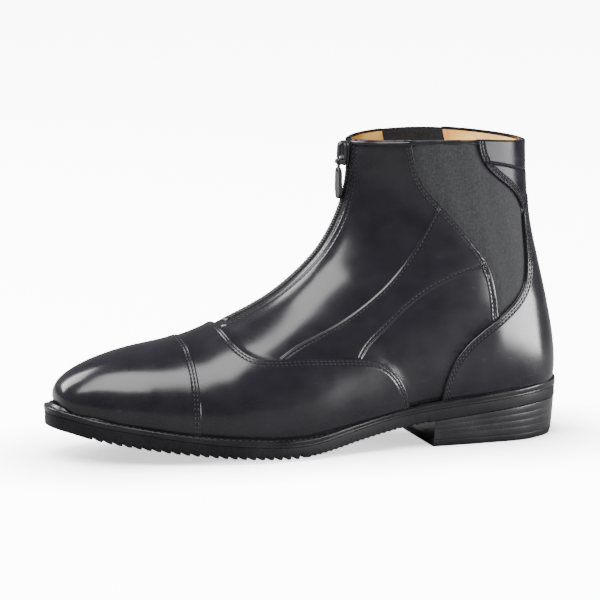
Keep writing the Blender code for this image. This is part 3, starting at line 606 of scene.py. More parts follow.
    def contour(self, name: str, level: float) -> list[Path]:
        """Return the lines along which a field has one value."""
        column = self.names.index(name)
        values = self.values[:, column] - level + 1e-9
        nodes: dict[tuple[int, int], list[tuple[int, int]]] = {}
        for face in self.faces[self.crossing_faces(values)].tolist():
            ends = [(min(a, b), max(a, b)) for a, b in zip(face, face[1:] + face[:1])
                    if values[a] * values[b] < 0]
            for end, other in (ends, ends[::-1]):
                nodes.setdefault(end, []).append(other)
        paths = []
        starts = [key for key, linked in nodes.items() if len(linked) == 1] + list(nodes)
        seen = set()
        for start in starts:
            if start in seen:
                continue
            chain = [start]
            seen.add(start)
            while True:
                ahead = [key for key in nodes[chain[-1]] if key not in seen]
                if not ahead:
                    break
                chain.append(ahead[0])
                seen.add(ahead[0])
            if len(chain) > 3:
                spots = [self.between(a, b, values[a] / (values[a] - values[b])) for a, b in chain]
                fields = np.array([spot[2] for spot in spots])
                paths.append(Path(np.array([spot[0] for spot in spots]),
                                  np.array([spot[1] for spot in spots]),
                                  {key: fields[:, i] for i, key in enumerate(self.names)}))
        return paths


def make_object(name: str, points: np.ndarray, faces: Sequence[Sequence[int]],
                materials: Sequence[bpy.types.Material], slot: str, added: bool = False,
                material_of: np.ndarray | None = None, sharp: float = 50.0, body: str = "boot") -> None:
    """Make a mesh object in metres from points in millimetres.

    Args:
        name: the object's name.
        points: corners, measured from the boot's middle plane.
        faces: corner numbers of each face.
        materials: the object's finishes.
        slot: the name of the node that the object replaces.
        added: the object replaces no node.
        material_of: material number of each face.
        sharp: edges that turn more than this many degrees are shaded sharp.
        body: the body that the piece rides on.
    """
    mesh = bpy.data.meshes.new(name)
    placed = (np.asarray(points, float) + [0, SIDE_SHIFT, 0]) * MM
    mesh.from_pydata(placed.tolist(), [], [list(map(int, face)) for face in faces])
    if material_of is not None:
        mesh.polygons.foreach_set("material_index", material_of.astype(np.int32))
    mesh.validate()
    mesh.update()
    mesh.shade_smooth()
    mesh.set_sharp_from_angle(angle=math.radians(sharp))
    obj = bpy.data.objects.new(name, mesh)
    bpy.context.scene.collection.objects.link(obj)
    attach(obj, body)
    for material in materials:
        mesh.materials.append(material)
    if not added:
        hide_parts(slot)
    LOG.info("%s: %d triangles", name, sum(len(face) - 2 for face in faces))


def skin(rings: int, count: int, closed: bool = False, start: int = 0) -> list[tuple[int, ...]]:
    """Return faces over rings of points that follow each other.

    Args:
        rings: how many rings there are.
        count: points in each ring.
        closed: the last ring joins the first, so that the ends need no caps.
        start: number of the first point.
    """
    pairs = [(ring, ring + 1) for ring in range(rings - 1)]
    if closed:
        pairs.append((rings - 1, 0))
    faces = [(start + a * count + k, start + a * count + (k + 1) % count,
              start + b * count + (k + 1) % count, start + b * count + k)
             for a, b in pairs for k in range(count)]
    if not closed:
        last = start + (rings - 1) * count
        faces += [tuple(range(start + count - 1, start - 1, -1)), tuple(range(last, last + count))]
    return faces


def circle(corners: int) -> np.ndarray:
    """Evenly spaced turns in radians."""
    return np.arange(corners) * 2 * math.pi / corners


def shell(sheet: Sheet, outer: np.ndarray, inner: np.ndarray
          ) -> tuple[np.ndarray, np.ndarray, np.ndarray]:
    """Turn a sheet into a closed wall between two offsets.

    Args:
        sheet: the surface.
        outer: offset of the outer face at each point.
        inner: offset of the inner face at each point.

    Returns:
        Points, triangles, and 0, 1 or 2 for an outer, inner or rim triangle.
    """
    count = len(sheet.points)
    points = np.concatenate([sheet.points + sheet.normals * outer[:, None],
                             sheet.points + sheet.normals * inner[:, None]])
    edges = sheet.border()
    a, b = edges[:, 0], edges[:, 1]
    rim = np.concatenate([np.stack([b, a, a + count], axis=1), np.stack([b, a + count, b + count], axis=1)])
    faces = np.concatenate([sheet.faces, sheet.faces[:, ::-1] + count, rim])
    kinds = np.repeat([0, 1, 2], [len(sheet.faces), len(sheet.faces), len(rim)])
    return points, faces, kinds


def rounded(distance: np.ndarray, radius: float) -> np.ndarray:
    """Height lost at an edge that is rounded like a quarter circle."""
    inside = np.clip(1 - distance / radius, 0, 1)
    return radius * (1 - np.sqrt(1 - inside ** 2))


# Width of the black facing inside the zip and the collar, before the lining starts
FACING = 7.0
COLLAR_FACING = 1.5
# Half width of a sunk row, width of a raised step, and how far past both the mesh has one more line
GROOVE_REACH = 0.75
STEP_WIDTH = 0.7
EASE = 0.45
LEVEL_SPACING = 0.06


def groove(distance: np.ndarray, at: float) -> np.ndarray:
    """A soft channel of depth 1 along a line at a distance."""
    share = np.clip(np.abs(distance - at) / GROOVE_REACH, 0, 1)
    return np.cos(share * math.pi / 2) ** 2


@dataclass(frozen=True)
class Crease:
    """A soft ridge, or a trough where the height is negative, laid on the form in side view."""

    start: tuple[float, float]
    end: tuple[float, float]
    height: float
    width: float
    side: int = 0

    def at(self, points: np.ndarray) -> np.ndarray:
        """Height of the ridge at points of the form."""
        begin, finish = np.array(self.start), np.array(self.end)
        along = finish - begin
        offset = points[:, [0, 2]] - begin
        share = offset @ along / (along @ along)
        nearest = np.clip(share, 0, 1)
        across = np.hypot(*(offset - nearest[:, None] * along).T)
        fade = np.sin(np.clip(share * 0.9 + 0.05, 0, 1) * math.pi) ** 0.6
        here = np.ones(len(points)) if self.side == 0 else np.clip(points[:, 1] * self.side / 6, 0, 1)
        return self.height * np.exp(-(across / self.width) ** 2) * fade * here


CREASES = [
    Crease((-60, 60), (-52, 30), -0.18, 7.0),
    Crease((-46, 40), (-34, 26), 0.16, 6.0),
    Crease((-30, 50), (-10, 24), -0.14, 9.0),
    Crease((-104, 46), (-76, 44), 0.10, 4.0),
    Crease((-128, 38), (-112, 34), -0.12, 4.0),
    Crease((-94, 40), (-86, 36), -0.10, 4.0),
    Crease((6, 92), (44, 108), -0.28, 8.0),
    Crease((-10, 74), (20, 88), -0.25, 6.0),
    Crease((14, 104), (50, 126), 0.25, 9.0),
    Crease((30, 70), (60, 62), -0.25, 9.0),
    Crease((44, 56), (68, 46), 0.2, 8.0),
    Crease((80, 40), (86, 62), -0.3, 7.0),
    Crease((103, 36), (106, 78), 0.55, 12.0),
    Crease((122, 60), (126, 96), -0.25, 6.0),
    Crease((122, 88), (134, 74), 0.25, 5.0),
    Crease((64, 128), (36, 152), -0.25, 9.0),
    Crease((40, 128), (30, 160), 0.2, 8.0),
]


def creased(points: np.ndarray) -> np.ndarray:
    """Height of all the creases at points of the form."""
    total = np.zeros(len(points))
    for crease in CREASES:
        total += crease.at(points)
    return total


def smooth(value: np.ndarray) -> np.ndarray:
    """Soft step from 0 to 1."""
    share = np.clip(value, 0, 1)
    return share * share * (3 - 2 * share)


@dataclass
class BootForm:
    """The boot's outer form, with the distance of each point to every edge and seam."""

    rings_per_row: int = 8
    columns: int = 64
    sheet: Sheet = field(init=False)
    front: np.ndarray = field(init=False)
    front_out: np.ndarray = field(init=False)

    def __post_init__(self) -> None:
        """Build the sheet and the line of the zip."""
        rings, shares = Last.grid(self.rings_per_row, self.columns)
        count, around = shares.shape
        pole = np.array([[LAST[0].front_x, 0.0, LAST[0].front_z]])
        along = np.gradient(rings, axis=0)
        across = np.roll(rings, -1, axis=1) - np.roll(rings, 1, axis=1)
        normals = unit(np.cross(along, across))
        outward = rings - rings.mean(axis=1, keepdims=True)
        normals *= np.where((normals * outward).sum(-1, keepdims=True) < 0, -1, 1)
        self.front = rings[:, 0]
        self.front_out = unit(normals[:, 0] * [1, 0, 1])
        points = np.concatenate([pole, rings.reshape(-1, 3)])
        directions = np.concatenate([[[-1.0, 0.0, 0.0]], normals.reshape(-1, 3)])
        share = np.concatenate([[0.5], shares.ravel()])
        row, column = np.meshgrid(np.arange(count - 1), np.arange(around), indexing="ij")
        a = (1 + row * around + column).ravel()
        b = (1 + row * around + (column + 1) % around).ravel()
        c, d = b + around, a + around
        first = np.stack([a, b, c], axis=1)
        second = np.stack([a, c, d], axis=1)
        j = np.arange(around)
        cap = np.stack([np.zeros(around, int), 1 + (j + 1) % around, 1 + j], axis=1)
        faces = np.concatenate([cap, first, second])
        corner = points[faces]
        facing = np.cross(corner[:, 1] - corner[:, 0], corner[:, 2] - corner[:, 0])
        flip = (facing * directions[faces[:, 0]]).sum(1) < 0
        faces[flip] = faces[flip][:, ::-1]
        self.sheet = Sheet(points, directions, faces, self.fields(points, share))

    @staticmethod
    def fields(points: np.ndarray, share: np.ndarray) -> dict[str, np.ndarray]:
        """Distances of points to the edges and seams."""
        side = points[:, [0, 2]]
        gusset = np.concatenate([side_line(GUSSET_FRONT), side_line(COUNTER_BACK[::-1])[1:-1],
                                 side_line(GUSSET_BACK[::-1])])
        counter = np.concatenate([side_line(COUNTER_BACK), side_line(COUNTER_FRONT)[1:],
                                  [(175, 5), (175, 142)], np.array(STRAP_TOP[:0:-1], float)])
        patch = np.concatenate([side_line(GUSSET_BACK), np.array(STRAP_TOP[1:], float), [(165, 190)]])
        vamp = np.concatenate([side_line(VAMP_EDGE), [(CAP_EDGE_X - 20, 5), (CAP_EDGE_X - 20, 85)]])
        panel = np.concatenate([side_line(SEAM_UPPER), side_line(SEAM_LOWER)])
        collar = side_line(COLLAR)
        past_slot = np.abs(points[:, 1]) - ZIP_SLOT / 2
        below = ZIP_LOW_X - points[:, 0]
        slot = np.where((past_slot > 0) & (below > 0), np.hypot(past_slot, below),
                        np.maximum(past_slot, below))
        return {
            "sole": points[:, 2] - Sole.feather(np.clip(points[:, 0], -HALF_LENGTH, HALF_LENGTH)),
            "collar": np.interp(points[:, 0], collar[:, 0], collar[:, 1]) - points[:, 2],
            "cap": CAP_EDGE_X - points[:, 0],
            "vamp": -polygon_distance(side, vamp),
            "gusset": polygon_distance(side, gusset),
            "counter": -polygon_distance(side, counter),
            "patch": -polygon_distance(side, patch),
            "panel": -polygon_distance(side, panel),
            "zip": np.where(share > 0.3, 40.0, slot),
            "patch_seam": points[:, 2] - np.interp(points[:, 0], *np.array(PATCH_STITCH, float).T),
        }


class StitchRows:
    """Stitches of thread laid along lines on the leather, gathered into one mesh."""

    SIDES = 6
    # Place along the stitch, thickness and lift of each of its rings, as shares
    PROFILE = ((-1.0, 0.3, -0.8), (-0.7, 0.85, -0.1), (0.0, 1.0, 0.25), (0.7, 0.85, -0.1), (1.0, 0.3, -0.8))

    def __init__(self, name: str, material: bpy.types.Material, slot: str, pitch: float = 2.5,
                 radius: float = 0.3, length: float = 1.75) -> None:
        """Start an empty group of stitches."""
        self.name, self.material, self.slot = name, material, slot
        self.pitch, self.radius, self.length = pitch, radius, length
        self.points: list[np.ndarray] = []
        self.faces: list[tuple[int, ...]] = []

    def add(self, line: np.ndarray, normals: np.ndarray) -> None:
        """Lay stitches along a line.

        Args:
            line: points on the leather's surface.
            normals: the surface's outward directions there.
        """
        path = np.concatenate([[0], np.cumsum(np.linalg.norm(np.diff(line, axis=0), axis=1))])
        count = int(path[-1] // self.pitch)
        for i in range(count):
            middle = (i + 0.5) * path[-1] / count
            ends = [np.array([np.interp(middle + d, path, line[:, k]) for k in range(3)])
                    for d in (-self.length / 2, self.length / 2)]
            out = unit(np.array([np.interp(middle, path, normals[:, k]) for k in range(3)]))
            self.place((ends[0] + ends[1]) / 2, unit(ends[1] - ends[0]), out)

    def place(self, centre: np.ndarray, along: np.ndarray, out: np.ndarray) -> None:
        """Add one stitch, whose ends dip into the leather."""
        side = np.cross(along, out)
        turn = circle(self.SIDES)[:, None]
        self.faces += skin(len(self.PROFILE), self.SIDES, start=len(self.points) * self.SIDES)
        for at, size, lift in self.PROFILE:
            spot = centre + along * at * self.length / 2 + out * lift * self.radius
            self.points.append(spot + self.radius * size * (np.cos(turn) * side + np.sin(turn) * out))

    def build(self) -> None:
        """Make the mesh."""
        make_object(self.name, np.concatenate(self.points), self.faces, [self.material], self.slot,
                    added=True, sharp=180)


@dataclass
class LeatherPanel:
    """A closed panel of leather on the form, with rounded edges and sunk rows of stitches."""

    name: str
    node: str
    material: bpy.types.Material
    inside: list[str]
    under: float
    over: float
    edges: dict[str, float]
    rows: dict[str, list[float]]
    steps: dict[str, tuple[float, float]] = field(default_factory=dict)
    clear_of: dict[str, float] = field(default_factory=dict)
    lining: bpy.types.Material | None = None
    groove_depth: float = 0.2
    fine_rows: int = 2

    def height(self, points: np.ndarray, values: dict[str, np.ndarray]) -> np.ndarray:
        """Height of the panel's outer face above the form."""
        total = self.over + creased(points)
        loss = np.zeros(len(points))
        for name, radius in self.edges.items():
            loss = np.maximum(loss, rounded(np.maximum(values[name], 0), radius))
        for name, (at, rise) in self.steps.items():
            total = total + rise * smooth((values[name] - at) / STEP_WIDTH + 0.5) * self.freedom(values, name)
        for name, places in self.rows.items():
            for at in places:
                total = total - self.groove_depth * groove(values[name], at) * self.freedom(values, name)
        return total - loss

    def freedom(self, values: dict[str, np.ndarray], name: str) -> np.ndarray:
        """1 where a seam shows, 0 where another panel covers it."""
        share = np.ones(len(values["sole"]))
        for other, distance in self.clear_of.items():
            if other != name:
                share = share * smooth((values[other] * (1 if distance > 0 else -1)
                                        - abs(distance)) / 1.5 + 0.5)
        return share

    def levels(self) -> dict[str, list[float]]:
        """Distances from each edge and seam at which the mesh gets a line of its own."""
        wanted: dict[str, set[float]] = {}
        for name, radius in self.edges.items():
            wanted[name] = {0.12 * radius, 0.4 * radius, radius}
            if min(self.rows.get(name, [9.0])) > radius + 1.3:
                wanted[name].add(radius + EASE)
        for name, places in self.rows.items():
            for at in places[-self.fine_rows:]:
                near, far = GROOVE_REACH / 2, GROOVE_REACH
                wanted.setdefault(name, set()).update((at - far, at - near, at, at + near, at + far,
                                                       at + far + EASE))
        for name, (at, _) in self.steps.items():
            half = STEP_WIDTH / 2
            wanted.setdefault(name, set()).update((at - half - EASE, at - half, at, at + half,
                                                   at + half + EASE))
        if self.lining:
            wanted["zip"].add(FACING)
            wanted["collar"].add(COLLAR_FACING)
        spaced: dict[str, list[float]] = {name: [] for name in wanted}
        for name, places in wanted.items():
            for place in sorted(places):
                if not spaced[name] or place - spaced[name][-1] > LEVEL_SPACING:
                    spaced[name].append(place)
        return spaced

    def build(self, form: BootForm, stitches: StitchRows) -> None:
        """Cut the panel from the form, thicken it and lay its stitches."""
        sheet = form.sheet.copy()
        for name in self.inside:
            sheet.cut(name, 0.0, Keep.ABOVE)
        sheet.compact()
        for name, places in self.levels().items():
            sheet.rows(name, places)
        sheet.compact()
        values = {name: sheet.get(name) for name in sheet.names}
        outer = self.height(sheet.points, values)
        inner = np.full(len(outer), self.under) + creased(sheet.points)
        points, faces, kinds = shell(sheet, outer, inner)
        material_of, materials = None, [self.material]
        if self.lining:
            place = faces % len(outer)
            faced = ((values["collar"][place].mean(1) > COLLAR_FACING)
                     & (values["zip"][place].mean(1) > FACING))
            material_of = np.where((kinds == 1) & faced, 1, 0)
            materials.append(self.lining)
        make_object(self.name, points, faces, materials, self.node, material_of=material_of)
        for name, places in self.rows.items():
            for at in places:
                for path in sheet.contour(name, at):
                    self.stitch(path, stitches, name)

    def stitch(self, path: Path, stitches: StitchRows, name: str) -> None:
        """Lay one row where it isn't covered by another panel."""
        shown = self.freedom(path.values, name) > 0.5
        for edge, radius in self.edges.items():
            shown &= path.values[edge] > radius
        surface = path.points + path.normals * (self.height(path.points, path.values) + 0.1)[:, None]
        start = None
        for i, visible in enumerate(list(shown) + [False]):
            if visible and start is None:
                start = i
            if not visible and start is not None:
                if i - start > 3:
                    stitches.add(surface[start:i], path.normals[start:i])
                start = None


@dataclass
class Gusset:
    """An elastic panel in one of the side openings, drawn in a little beside the leather."""

    name: str
    side: int
    material: bpy.types.Material
    draw: float = 0.6
    reach: float = 2.5

    def build(self, form: BootForm) -> None:
        """Cut the panel from the form and thicken it."""
        sheet = form.sheet.copy()
        sheet.cut("gusset", 0.25, Keep.BELOW)
        sheet.cut("collar", 0.4, Keep.ABOVE)
        sheet.faces = sheet.faces[(sheet.points[sheet.faces][:, :, 1] * self.side).mean(1) > 0]
        sheet.rows("gusset", [-0.6, -1.6, -3.0])
        sheet.compact()
        depth = -np.minimum(sheet.get("gusset"), 0)
        outer = -GUSSET_SUNK - self.draw * np.exp(-(depth / self.reach) ** 2)
        outer += 0.35 * np.sin(sheet.points[:, 0] * 0.42 + sheet.points[:, 2] * 0.1) * smooth(depth / 6) * 0.5
        points, faces, _ = shell(sheet, outer, outer - GUSSET_THICK + 0.2)
        make_object(self.name, points, faces, [self.material], self.name)


def tube(line: np.ndarray, out: np.ndarray, half_width: float, half_height: float, sides: int = 10
         ) -> tuple[np.ndarray, list[tuple[int, ...]]]:
    """Sweep an oval along a line and close its ends.

    Args:
        line: the oval's centres.
        out: outward direction at each centre.
        half_width: half size of the oval along the surface.
        half_height: half size of the oval away from the surface.
        sides: corners of the oval.

    Returns:
        Points and faces.
    """
    along = unit(np.gradient(line, axis=0))
    across = unit(np.cross(along, out))
    turn = circle(sides)
    points = (line[:, None] + across[:, None] * (np.cos(turn) * half_width)[None, :, None]
              + out[:, None] * (np.sin(turn) * half_height)[None, :, None]).reshape(-1, 3)
    return points, skin(len(line), sides)


@dataclass
class CollarBinding:
    """The thin rolled edge that runs along the collar on both sides."""

    material: bpy.types.Material
    drop: float = 1.9
    half_width: float = 1.1
    half_height: float = 0.5

    def build(self, form: BootForm) -> None:
        """Sweep the binding along the collar, from the zip to the collar patch."""
        blocks, faces, start = [], [], 0
        for path in form.sheet.contour("collar", self.drop):
            shown = np.flatnonzero((path.values["zip"] > 0.2) & (path.values["patch"] < 0.3))
            for run in np.split(shown, np.flatnonzero(np.diff(shown) > 1) + 1):
                if len(run) < 6:
                    continue
                sunk = smooth(-path.values["gusset"][run] / 1.2) * (GUSSET_SUNK + 0.5)
                line = path.points[run] + path.normals[run] * (0.25 - sunk)[:, None]
                points, sides = tube(line, path.normals[run], self.half_width, self.half_height)
                blocks.append(points)
                faces += [tuple(c + start for c in face) for face in sides]
                start += len(points)
        make_object("collar_binding", np.concatenate(blocks), faces, [self.material], "upper",
                    added=True, sharp=60)


@dataclass
class Zip:
    """Tape, teeth, bottom stop, slider and pull of the front zip."""

    PULL_CORNERS: ClassVar[int] = 48
    # Radius and depth of the eye's rings, and scale and depth of the tab's rings with its raised rim
    PULL_EYE: ClassVar[tuple] = ((1.05, 0.6), (1.05 * 1.25, 0.8))
    PULL_PROFILE: ClassVar[tuple] = ((0.7, 0.72), (0.78, 0.75), (0.84, 0.95), (0.96, 0.98), (1.0, 0.75))
    tape: bpy.types.Material
    teeth: bpy.types.Material
    metal: bpy.types.Material
    worn: bpy.types.Material
    form: BootForm
    pitch: float = 1.45
    low: float = ZIP_LOW_X + 1.5
    slider_low: float = 154.6
    slider_high: float = 168.4
    axis_x: float = 20.4
    axis_z: float = 156.6

    def __post_init__(self) -> None:
        """Measure the front line, from the toe up."""
        self.line = self.form.front
        self.out = self.form.front_out
        self.path = np.concatenate([[0], np.cumsum(np.linalg.norm(np.diff(self.line, axis=0), axis=1))])

    def at(self, place: np.ndarray) -> tuple[np.ndarray, np.ndarray]:
        """Points and outward directions at lengths along the front line."""
        point = np.stack([np.interp(place, self.path, self.line[:, k]) for k in range(3)], axis=-1)
        out = np.stack([np.interp(place, self.path, self.out[:, k]) for k in range(3)], axis=-1)
        return point, unit(out)

    def place_of(self, column: int, value: float) -> float:
        """Length along the front line at which x or z has a value."""
        return float(np.interp(value, self.line[:, column], self.path))

    def build_tape(self) -> None:
        """Lay the two halves of the woven tape, with a rib along each side."""
        places = np.arange(self.place_of(0, ZIP_LOW_X + GAP), self.place_of(2, 169.3), 1.2)
        centre, out = self.at(places)
        half = ZIP_SLOT / 2 - 0.1
        section = [(-half, -0.95), (-3.3, -0.9), (-2.9, -0.62), (-2.5, -0.62), (-2.2, -0.95),
                   (2.2, -0.95), (2.5, -0.62), (2.9, -0.62), (3.3, -0.9), (half, -0.95), (half, -1.9),
                   (-half, -1.9)]
        across = np.array([0.0, 1.0, 0.0])
        points = np.concatenate([centre + across * y + out * up for y, up in section])
        rows, count = len(section), len(places)
        faces = [(r * count + i, r * count + i + 1, (r + 1) % rows * count + i + 1,
                  (r + 1) % rows * count + i) for r in range(rows) for i in range(count - 1)]
        faces += [tuple(r * count for r in range(rows)),
                  tuple((rows - 1 - r) * count + count - 1 for r in range(rows))]
        make_object("zip_tape_woven", points, faces, [self.tape], "zip_tape", sharp=30)

    def build_teeth(self) -> None:
        """Set slanted teeth along both sides so that they mesh in the middle."""
        first, last = self.place_of(0, self.low), self.place_of(2, self.slider_low + 1)
        count = int((last - first) / self.pitch * 2)
        blocks, faces = [], []
        section = [(-2.25, -0.9), (-2.25, -0.2), (-1.9, 0.12), (0.35, 0.32), (0.75, 0.05), (0.75, -0.75)]
        thick = self.pitch * 0.36
        rings = ((-thick, 0.72), (-thick * 0.6, 1.0), (thick * 0.6, 1.0), (thick, 0.72))
        for i in range(count):
            centre, out = self.at(np.array([first + i * self.pitch / 2]))
            along = np.cross(out[0], [0.0, 1.0, 0.0])
            side = 1 if i % 2 else -1
            corners = [centre[0] + along * (shift + (y + 0.7) * 0.22)
                       + np.array([0, side * ((y + 0.7) * size - 0.7), 0])
                       + out[0] * ((up + 0.3) * size - 0.3)
                       for shift, size in rings for y, up in section]
            blocks.append(np.array(corners))
            tooth = skin(len(rings), len(section), start=i * len(corners))
            faces += tooth if side < 0 else [face[::-1] for face in tooth]
        make_object("zip_teeth", np.concatenate(blocks), faces, [self.teeth], "zip_coil")

    def build_stop(self) -> None:
        """Clamp the bottom stop over the end of the teeth."""
        place = self.place_of(0, self.low)
        centre, out = self.at(np.array([place - 1.6, place - 1.2, place + 0.8, place + 1.2]))
        lines = []
        for y, up in ((-2.7, -0.5), (-2.5, 0.2), (-1.4, 0.62), (1.4, 0.62), (2.5, 0.2), (2.7, -0.5)):
            for i in range(4):
                lines.append(centre[i] + [0, y, 0] + out[i] * (up - (0.25 if i in (0, 3) else 0)))
        faces = [(a * 4 + i, a * 4 + i + 1, a * 4 + i + 5, a * 4 + i + 4) for a in range(5) for i in range(3)]
        faces += [(0, 4, 8, 12, 16, 20), (23, 19, 15, 11, 7, 3), (20, 21, 22, 23, 3, 2, 1, 0)]
        make_object("zip_bottom_stop", np.array(lines), faces, [self.worn], "zip_coil", added=True,
                    sharp=60)

    @staticmethod
    def add(bm: bmesh.types.BMesh, points: np.ndarray, faces: Sequence[Sequence[int]]) -> None:
        """Add points and faces to a mesh in the making."""
        verts = [bm.verts.new(point) for point in points]
        for face in faces:
            bm.faces.new([verts[k] for k in face])

    def add_bar(self, bm: bmesh.types.BMesh, path: Sequence[Sequence[float]], out: Sequence[float],
                half_width: float, half_height: float) -> None:
        """Add a straight rounded bar, whose outward direction is the same all along."""
        self.add(bm, *tube(np.array(path), np.array([out] * len(path)), half_width, half_height, 12))

    def add_plate(self, bm: bmesh.types.BMesh, x_low: float, x_high: float, wide: float) -> None:
        """Add one shield-shaped plate of the slider, wider towards its top."""
        arc = [math.radians(turn) for turn in range(0, 181, 15)]
        outline = [(wide * math.cos(angle), self.slider_high - 3.2 + 3.2 * math.sin(angle)) for angle in arc]
        flank = [(0.92, 160.5), (0.74, 155.6), (0.62, 154.8)]
        outline += [(-wide * share, z) for share, z in flank]
        outline += [(wide * share, z) for share, z in flank[::-1]]
        rings = ((x_low, 0.9), (x_low + 0.3, 0.98), (x_low + 0.5, 1.0), (x_high - 0.2, 1.0), (x_high, 0.96))
        points = [(x, y * grow, z) for x, grow in rings for y, z in outline]
        self.add(bm, points, skin(len(rings), len(outline)))

    def build_slider(self) -> None:
        """Build the slider: two shield plates, the wedge between them and the bridge for the pull."""
        bm = bmesh.new()
        x, z, up = self.axis_x, self.axis_z, (0.0, 0.0, 1.0)
        self.add_plate(bm, 22.3, 23.7, 4.9)
        self.add_plate(bm, 24.2, 25.2, 4.6)
        bridge = side_points((22.9, 167.0), (21.6, 167.3), (20.7, 166.4), (20.3, 164.6), (20.2, 162.0),
                             (20.1, 159.6), (20.2, 157.9))
        posts = [(22.0, 167.0), (22.0, 164.0), (22.0, 160.4)]
        for path, half_width, half_height in ((side_line(bridge, 3), 2.3, 0.65), (posts, 2.0, 1.7)):
            line = np.array([(at, 0.0, height) for at, height in path])
            step = np.gradient(line, axis=0)
            out = unit(np.stack([-step[:, 2], np.zeros(len(line)), step[:, 0]], axis=1))
            self.add(bm, *tube(line, out, half_width, half_height, 12))
        for side in (-1, 1):
            self.add_bar(bm, [(x + 2.4, side * 3.7, z), (x - 0.2, side * 3.7, z)], up, 0.8, 1.3)
        self.add_bar(bm, [(x, -4.2, z), (x, 4.2, z)], up, 0.55, 0.55)
        self.add_bar(bm, [(23.2, 0.0, 167.6), (24.9, 0.0, 167.6)], up, 1.6, 0.7)
        self.from_bmesh(bm, "zip_slider_body", "zip_slider", "boot")

    def tab_ring(self, scale: float, depth: float) -> list[tuple[float, float, float]]:
        """One ring of the pull's outline, at a depth from its middle."""
        corners = []
        for angle in circle(self.PULL_CORNERS):
            c, s = math.cos(angle), math.sin(angle)
            y = (4.2 if s < 0 else 4.0) * math.copysign(abs(c) ** 0.55, c) * (1 - 0.04 * s)
            height = 8.6 * math.copysign(abs(s) ** (0.9 if s < 0 else 0.5), s)
            corners.append((self.axis_x + depth, y * scale,
                            self.axis_z - 11.8 + height * (1 - (1 - scale) * 0.45)))
        return corners

    def eye_ring(self, radius: float, depth: float) -> list[tuple[float, float, float]]:
        """One ring of the pull's eye, at a depth from its middle."""
        return [(self.axis_x + depth, radius * math.cos(angle), self.axis_z - 5.0 + radius * math.sin(angle))
                for angle in circle(self.PULL_CORNERS)]

    def build_pull(self) -> None:
        """Build the pull: a tapered tab with a raised rim, an eye and a knuckle round the pin."""
        bm = bmesh.new()
        x, z = self.axis_x, self.axis_z
        eye, profile = self.PULL_EYE, self.PULL_PROFILE
        rings = [self.eye_ring(radius, -depth) for radius, depth in eye]
        rings += [self.tab_ring(scale, -depth) for scale, depth in profile]
        rings += [self.tab_ring(scale, depth) for scale, depth in profile[::-1]]
        rings += [self.eye_ring(radius, depth) for radius, depth in eye[::-1]]
        self.add(bm, [corner for ring in rings for corner in ring],
                 skin(len(rings), self.PULL_CORNERS, closed=True))
        knuckle = ((1.45, -2.35), (1.65, -2.1), (1.65, 2.1), (1.45, 2.35), (0.85, 2.35), (0.85, -2.35))
        self.add(bm, [(x + radius * math.cos(angle), y, z + radius * math.sin(angle))
                      for radius, y in knuckle for angle in circle(20)],
                 [(a, d, c, b) for a, b, c, d in skin(len(knuckle), 20, closed=True)])
        self.add_bar(bm, [(x, 0.0, z - drop) for drop in (1.3, 2.2, 3.6)], (1.0, 0.0, 0.0), 2.3, 0.66)
        self.from_bmesh(bm, "zip_pull_tab", "zip_pull", "zip_pull")

    def from_bmesh(self, bm: bmesh.types.BMesh, name: str, node: str, body: str) -> None:
        """Turn a mesh in millimetres into a metal piece that replaces a node."""
        bmesh.ops.recalc_face_normals(bm, faces=bm.faces)
        bm.verts.index_update()
        points = np.array([vert.co for vert in bm.verts])
        faces = [[vert.index for vert in face.verts] for face in bm.faces]
        bm.free()
        make_object(name, points, faces, [self.metal], node, sharp=35, body=body)

    def build(self) -> None:
        """Build every part of the zip."""
        self.build_tape()
        self.build_teeth()
        self.build_stop()
        self.build_slider()
        self.build_pull()


